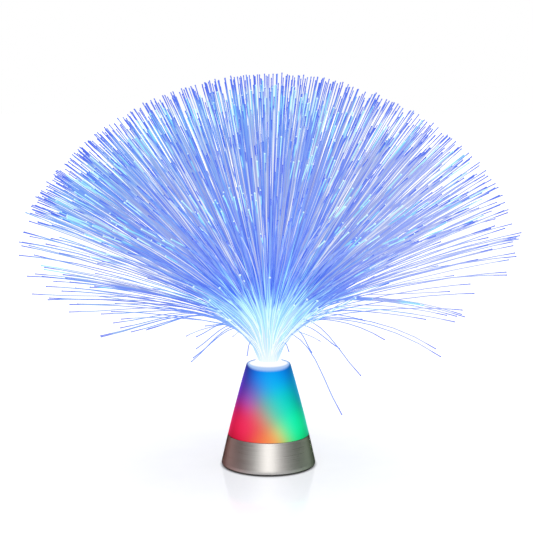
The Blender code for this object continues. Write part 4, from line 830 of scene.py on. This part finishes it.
def make_strands():
    lines = sown_strands() + spark_strands() + rear_strands() + stray_strands()
    material = strand_material()
    number = 0
    for ring, tufts in enumerate(TUFT_RINGS):
        for n in range(tufts):
            number += 1
            shape = bmesh.new()
            layers = [shape.verts.layers.float.new(name) for name in STRAND_LAYERS]
            add_slice(shape, ring, 2 * math.pi * n / tufts, math.pi / tufts)
            for owner, *strand in lines:
                if owner == number:
                    add_strand(shape, layers, *strand)
            bmesh.ops.recalc_face_normals(shape, faces=shape.faces)
            piece = add_object(f"strands_{number:02d}", shape, material)
            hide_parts(f"tuft_{number:02d}")
            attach(piece, "fiber_spray")


# Metal skirt


def flank_radius(height):
    """Outside radius of the housing at a height."""
    rise = height / HOUSING_HEIGHT
    straight = FLANK_BASE_RADIUS + (FLANK_TOP_RADIUS - FLANK_BASE_RADIUS) * rise
    return straight + 4 * FLANK_BOW * rise * (1 - rise)


def skirt_profile():
    """Radius and height of each ring of the skirt: down its flank, in under it and up its bore."""
    low, high = (corner.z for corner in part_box("base_skirt"))
    round_height = high - SKIRT_TOP_ROUND
    edge_height = low + SKIRT_EDGE_RADIUS
    edge_centre = flank_radius(edge_height) - SKIRT_EDGE_RADIUS
    ledge_top = LEDGE_BOTTOM + LEDGE_THICKNESS
    bore = flank_radius(LEDGE_BOTTOM) - SKIRT_WALL
    profile = [(flank_radius(high) - SKIRT_TOP_ROUND, high)]
    for k in range(1, TOP_ROUND_STEPS):
        angle = math.pi / 2 * k / TOP_ROUND_STEPS
        profile.append((flank_radius(round_height) - SKIRT_TOP_ROUND * (1 - math.sin(angle)),
                        high - SKIRT_TOP_ROUND * (1 - math.cos(angle))))
    for k in range(FLANK_RINGS + 1):
        height = round_height + (edge_height - round_height) * k / FLANK_RINGS
        profile.append((flank_radius(height), height))
    for k in range(1, EDGE_STEPS + 1):
        angle = math.pi / 2 * k / EDGE_STEPS
        profile.append((edge_centre + SKIRT_EDGE_RADIUS * math.cos(angle),
                        edge_height - SKIRT_EDGE_RADIUS * math.sin(angle)))
    profile += [(bore, low), (bore, LEDGE_BOTTOM), (bore - LEDGE_WIDTH, LEDGE_BOTTOM),
                (bore - LEDGE_WIDTH, ledge_top)]
    for k in range(BORE_STEPS + 1):
        height = ledge_top + (high - ledge_top) * k / BORE_STEPS
        profile.append((flank_radius(height) - SKIRT_WALL, height))
    return profile


def make_skirt(material):
    """The metal skirt as one spun shell, with a small round at its top and a rolled lower edge."""
    shape = bmesh.new()
    rings = []
    for radius, height in skirt_profile():
        rings.append([shape.verts.new((radius * math.cos(a), radius * math.sin(a), height))
                      for a in (2 * math.pi * n / SKIRT_STEPS for n in range(SKIRT_STEPS))])
    for i, ring in enumerate(rings):
        after = rings[(i + 1) % len(rings)]
        for n in range(SKIRT_STEPS):
            m = (n + 1) % SKIRT_STEPS
            face = shape.faces.new((ring[n], after[n], after[m], ring[m]))
            face.smooth = True
    bmesh.ops.recalc_face_normals(shape, faces=shape.faces)
    for edge in shape.edges:
        if edge.calc_face_angle(0) > SHARP_ANGLE:
            edge.smooth = False
    piece = add_object("skirt_shell", shape, material)
    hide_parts("base_skirt")
    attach(piece, "base")


# Finishes of the solids


def cone_glow(graph, place):
    """The colour that soft lights behind the frosted wall give it."""
    total = (0.0, 0.0, 0.0)
    for turn, height, spread, color in CONE_GLOWS:
        angle = math.radians(turn)
        spot = (flank_radius(height) * math.sin(angle), -flank_radius(height) * math.cos(angle), height)
        share = graph.math("DIVIDE", graph.vector("DISTANCE", first=place, second=spot), spread)
        fall = graph.math("EXPONENT", graph.times(graph.times(share, share), -1.0))
        total = graph.vector("ADD", first=total, second=graph.vector("SCALE", first=color, scale=fall))
    shown = [graph.math("SUBTRACT", 1.0, graph.math("EXPONENT", graph.times(value, -1.0)))
             for value in graph.axes(total)]
    return graph.add("ShaderNodeCombineXYZ", dict(zip("XYZ", shown))).outputs["Vector"]


def frosted():
    """Frosted wall lit from inside. The white light under the fibers floods the mouth and spills over
    the front edge."""
    made, graph = new_material("frosted_diffuser")
    place = graph.place()
    grain = graph.noise(900.0, place, detail=2.0)
    clouds = graph.ramp(graph.noise(45.0, place, detail=1.0), [(0.3, (0.94, 0.94, 0.94)), (0.7, WHITE)])
    color = graph.mix(1.0, cone_glow(graph, place), clouds, blend="MULTIPLY")
    scaled = graph.vector("MULTIPLY", first=place, second=MOUTH_GLOW_SCALE)
    away = graph.vector("DISTANCE", first=scaled, second=MOUTH_GLOW)
    color = graph.mix(graph.step(away, *MOUTH_EDGE), color, srgb(172, 202, 246))
    color = graph.mix(graph.step(away, *MOUTH_CORE), color, WHITE)
    graph.principled(
        Base_Color=(0.002, 0.002, 0.003), Roughness=0.5, Specular_IOR_Level=0.01,
        Emission_Color=color, Emission_Strength=1.0, Normal=graph.bump(grain, 0.12, 0.05 * MM))
    return made


def brushed():
    """Spun metal: fine rings round the axis, with a painted reflection of the cone's red light on the left
    and of its green light on the right, both darker than the bare metal.
    """
    made, graph = new_material("brushed_metal")
    place = graph.place()
    x = graph.axis(place, "X")
    rings = graph.vector("MULTIPLY", first=place, second=(25.0, 25.0, 2600.0))
    lines = graph.noise(1.0, rings, detail=4.0, roughness=0.7)
    bands = graph.noise(1.0, graph.vector("MULTIPLY", first=place, second=(6.0, 6.0, 700.0)), detail=2.0)
    metal = graph.ramp(lines, [(0.25, srgb(155, 152, 148)), (0.75, srgb(183, 180, 176))])
    for share, color in (
            (graph.times(graph.step(bands, 0.4, 0.7), 0.25), srgb(163, 160, 156)),
            # Painted reflection of the cone's red glow on the left and its green glow on the right, darker
            # towards the sides
            (graph.times(graph.step(x, -10 * MM, -34 * MM), 0.60), srgb(150, 98, 92)),
            (graph.times(graph.step(x, 10 * MM, 34 * MM), 0.60), srgb(104, 126, 98))):
        metal = graph.mix(share, metal, color)
    tangent = graph.add("ShaderNodeTangent", direction_type="RADIAL", axis="Z").outputs["Tangent"]
    graph.principled(
        Base_Color=metal, Metallic=1.0, Roughness=graph.remap(lines, (0.2, 0.8), (0.24, 0.40)),
        Anisotropic=0.55, Tangent=tangent, Specular_Tint=(0.03, 0.025, 0.02),
        Normal=graph.bump(lines, 0.25, 0.03 * MM))
    return made


def clear_plastic():
    """Acrylic full of the spray light's glow, brightest at its mouth."""
    made, graph = new_material("clear_plastic")
    place = graph.place()
    color = graph.ramp(graph.step(graph.axis(place, "Z"), *CLEAR_GLOW), [
        (0.0, srgb(130, 185, 235)), (0.7, srgb(190, 228, 250)), (1.0, srgb(242, 252, 255))])
    color = graph.mix(graph.times(graph.noise(160.0, place), 0.12), color, srgb(205, 235, 255))
    graph.principled(
        Base_Color=(0.15, 0.17, 0.18), Roughness=0.12, Specular_IOR_Level=0.5,
        Emission_Color=color, Emission_Strength=0.95)
    return made


def plain_plastic(name, dark, light, rough, grain_scale, depth):
    """Moulded plastic or rubber with a fine spark-eroded texture."""
    made, graph = new_material(name)
    place = graph.place()
    grain = graph.noise(grain_scale, place, detail=4.0)
    cloud = graph.noise(60.0, place, detail=2.0)
    graph.principled(
        Base_Color=graph.ramp(cloud, [(0.3, dark), (0.7, light)]),
        Roughness=graph.remap(grain, (0.3, 0.7), (rough - 0.06, rough + 0.06)),
        Normal=graph.bump(grain, 0.35, depth))
    return made


def plated(name, dark, light, rough):
    """Plated steel with faint tool marks."""
    made, graph = new_material(name)
    stretched = graph.vector("MULTIPLY", first=graph.place(), second=(1800.0, 300.0, 300.0))
    marks = graph.noise(1.0, stretched)
    graph.principled(
        Base_Color=graph.ramp(marks, [(0.3, dark), (0.7, light)]), Metallic=1.0,
        Roughness=graph.remap(marks, (0.3, 0.7), (rough - 0.06, rough + 0.08)),
        Normal=graph.bump(marks, 0.15, 0.02 * MM))
    return made


def lens(name, deep, bright):
    """A lit lens, brightest at its crown."""
    made, graph = new_material(name)
    rise = graph.step(graph.axis(graph.place(), "Z"), *LENS_GLOW)
    graph.principled(
        Base_Color=deep, Roughness=0.12, Emission_Color=graph.ramp(rise, [(0.0, deep), (1.0, bright)]),
        Emission_Strength=1.2)
    return made


def cell_sleeve():
    """A plain sleeve in two tones, with bare metal at the ends."""
    made, graph = new_material("cell_jacket")
    place = graph.place()
    off_middle = graph.math("ABSOLUTE", graph.axis(place, "X"))
    sleeve = graph.ramp(graph.noise(300.0, place), [(0.3, srgb(46, 56, 74)), (0.7, srgb(58, 70, 92))])
    sleeve = graph.mix(graph.step(off_middle, *CELL_BAND), sleeve, srgb(176, 140, 96))
    bare = graph.step(off_middle, *CELL_BARE)
    color = graph.mix(bare, sleeve, srgb(200, 200, 202))
    graph.principled(Base_Color=color, Roughness=0.35, Metallic=bare, Coat_Weight=0.3)
    return made


def circuit_board():
    """Solder mask over faint copper tracks."""
    made, graph = new_material("board")
    place = graph.place()
    tracks = graph.add("ShaderNodeTexBrick", {
        "Vector": graph.vector("MULTIPLY", first=place, second=(220.0, 220.0, 1.0)), "Mortar Size": 0.05,
        "Scale": 1.0, "Color1": (*srgb(18, 84, 50), 1), "Color2": (*srgb(22, 92, 54), 1),
        "Mortar": (*srgb(44, 122, 70), 1)}, offset=0.35).outputs["Color"]
    graph.principled(
        Base_Color=tracks, Roughness=0.38, Coat_Weight=0.4,
        Normal=graph.bump(graph.noise(800.0, place), 0.1, 0.02 * MM))
    return made


def wire_sleeve(name, dark, light):
    return plain_plastic(name, dark, light, 0.42, 1200.0, 0.02 * MM)


def dress():
    """Gives every solid that shows as it is its finish."""
    pan = plain_plastic("pan_plastic", srgb(46, 46, 48), srgb(58, 58, 60), 0.55, 1500.0, 0.06 * MM)
    rubber = plain_plastic("rubber", srgb(24, 24, 25), srgb(34, 34, 35), 0.82, 900.0, 0.08 * MM)
    knob = plain_plastic("knob_plastic", srgb(30, 30, 32), srgb(40, 40, 42), 0.48, 2200.0, 0.03 * MM)
    steel = plated("screw_steel", srgb(176, 176, 180), srgb(206, 206, 210), 0.30)
    contact = plated("contact_steel", srgb(208, 208, 210), srgb(232, 232, 234), 0.22)
    switch = plated("switch_metal", srgb(186, 186, 190), srgb(214, 214, 218), 0.32)
    clear = clear_plastic()
    finishes = {
        "diffuser_cone": frosted(), "socket_tube": clear, "bundle_ferrule": clear,
        "base_pan": pan, "battery_door": pan, "led_board": circuit_board(),
        "switch_case": switch, "switch_knob": knob,
        "led_red": lens("red_lens", srgb(200, 20, 30), srgb(255, 70, 80)),
        "led_green": lens("green_lens", srgb(20, 190, 90), srgb(110, 255, 160)),
        "led_blue": lens("blue_lens", srgb(30, 70, 220), srgb(120, 170, 255)),
        "led_spray": lens("white_lens", srgb(190, 225, 250), srgb(250, 255, 255)),
        "contact_positive": contact, "contact_negative": contact,
        "link_left": contact, "link_right": contact,
        "wire_red": wire_sleeve("red_wire", srgb(186, 30, 30), srgb(206, 42, 40)),
        "wire_black": wire_sleeve("black_wire", srgb(30, 30, 31), srgb(40, 40, 42)),
        "wire_white": wire_sleeve("white_wire", srgb(228, 228, 224), srgb(240, 240, 237)),
    }
    groups = {"cell_": cell_sleeve(), "spring_": contact, "foot_": rubber,
              "case_screw_": steel, "board_screw_": steel}
    for name in nodes:
        for prefix, material in groups.items():
            if name.startswith(prefix):
                finishes[name] = material
    for name, material in finishes.items():
        nodes[name].data.materials.clear()
        nodes[name].data.materials.append(material)


bpy.context.scene.view_settings.view_transform = "Standard"
make_camera()
make_world()
make_floor()
make_strands()
make_skirt(brushed())
dress()
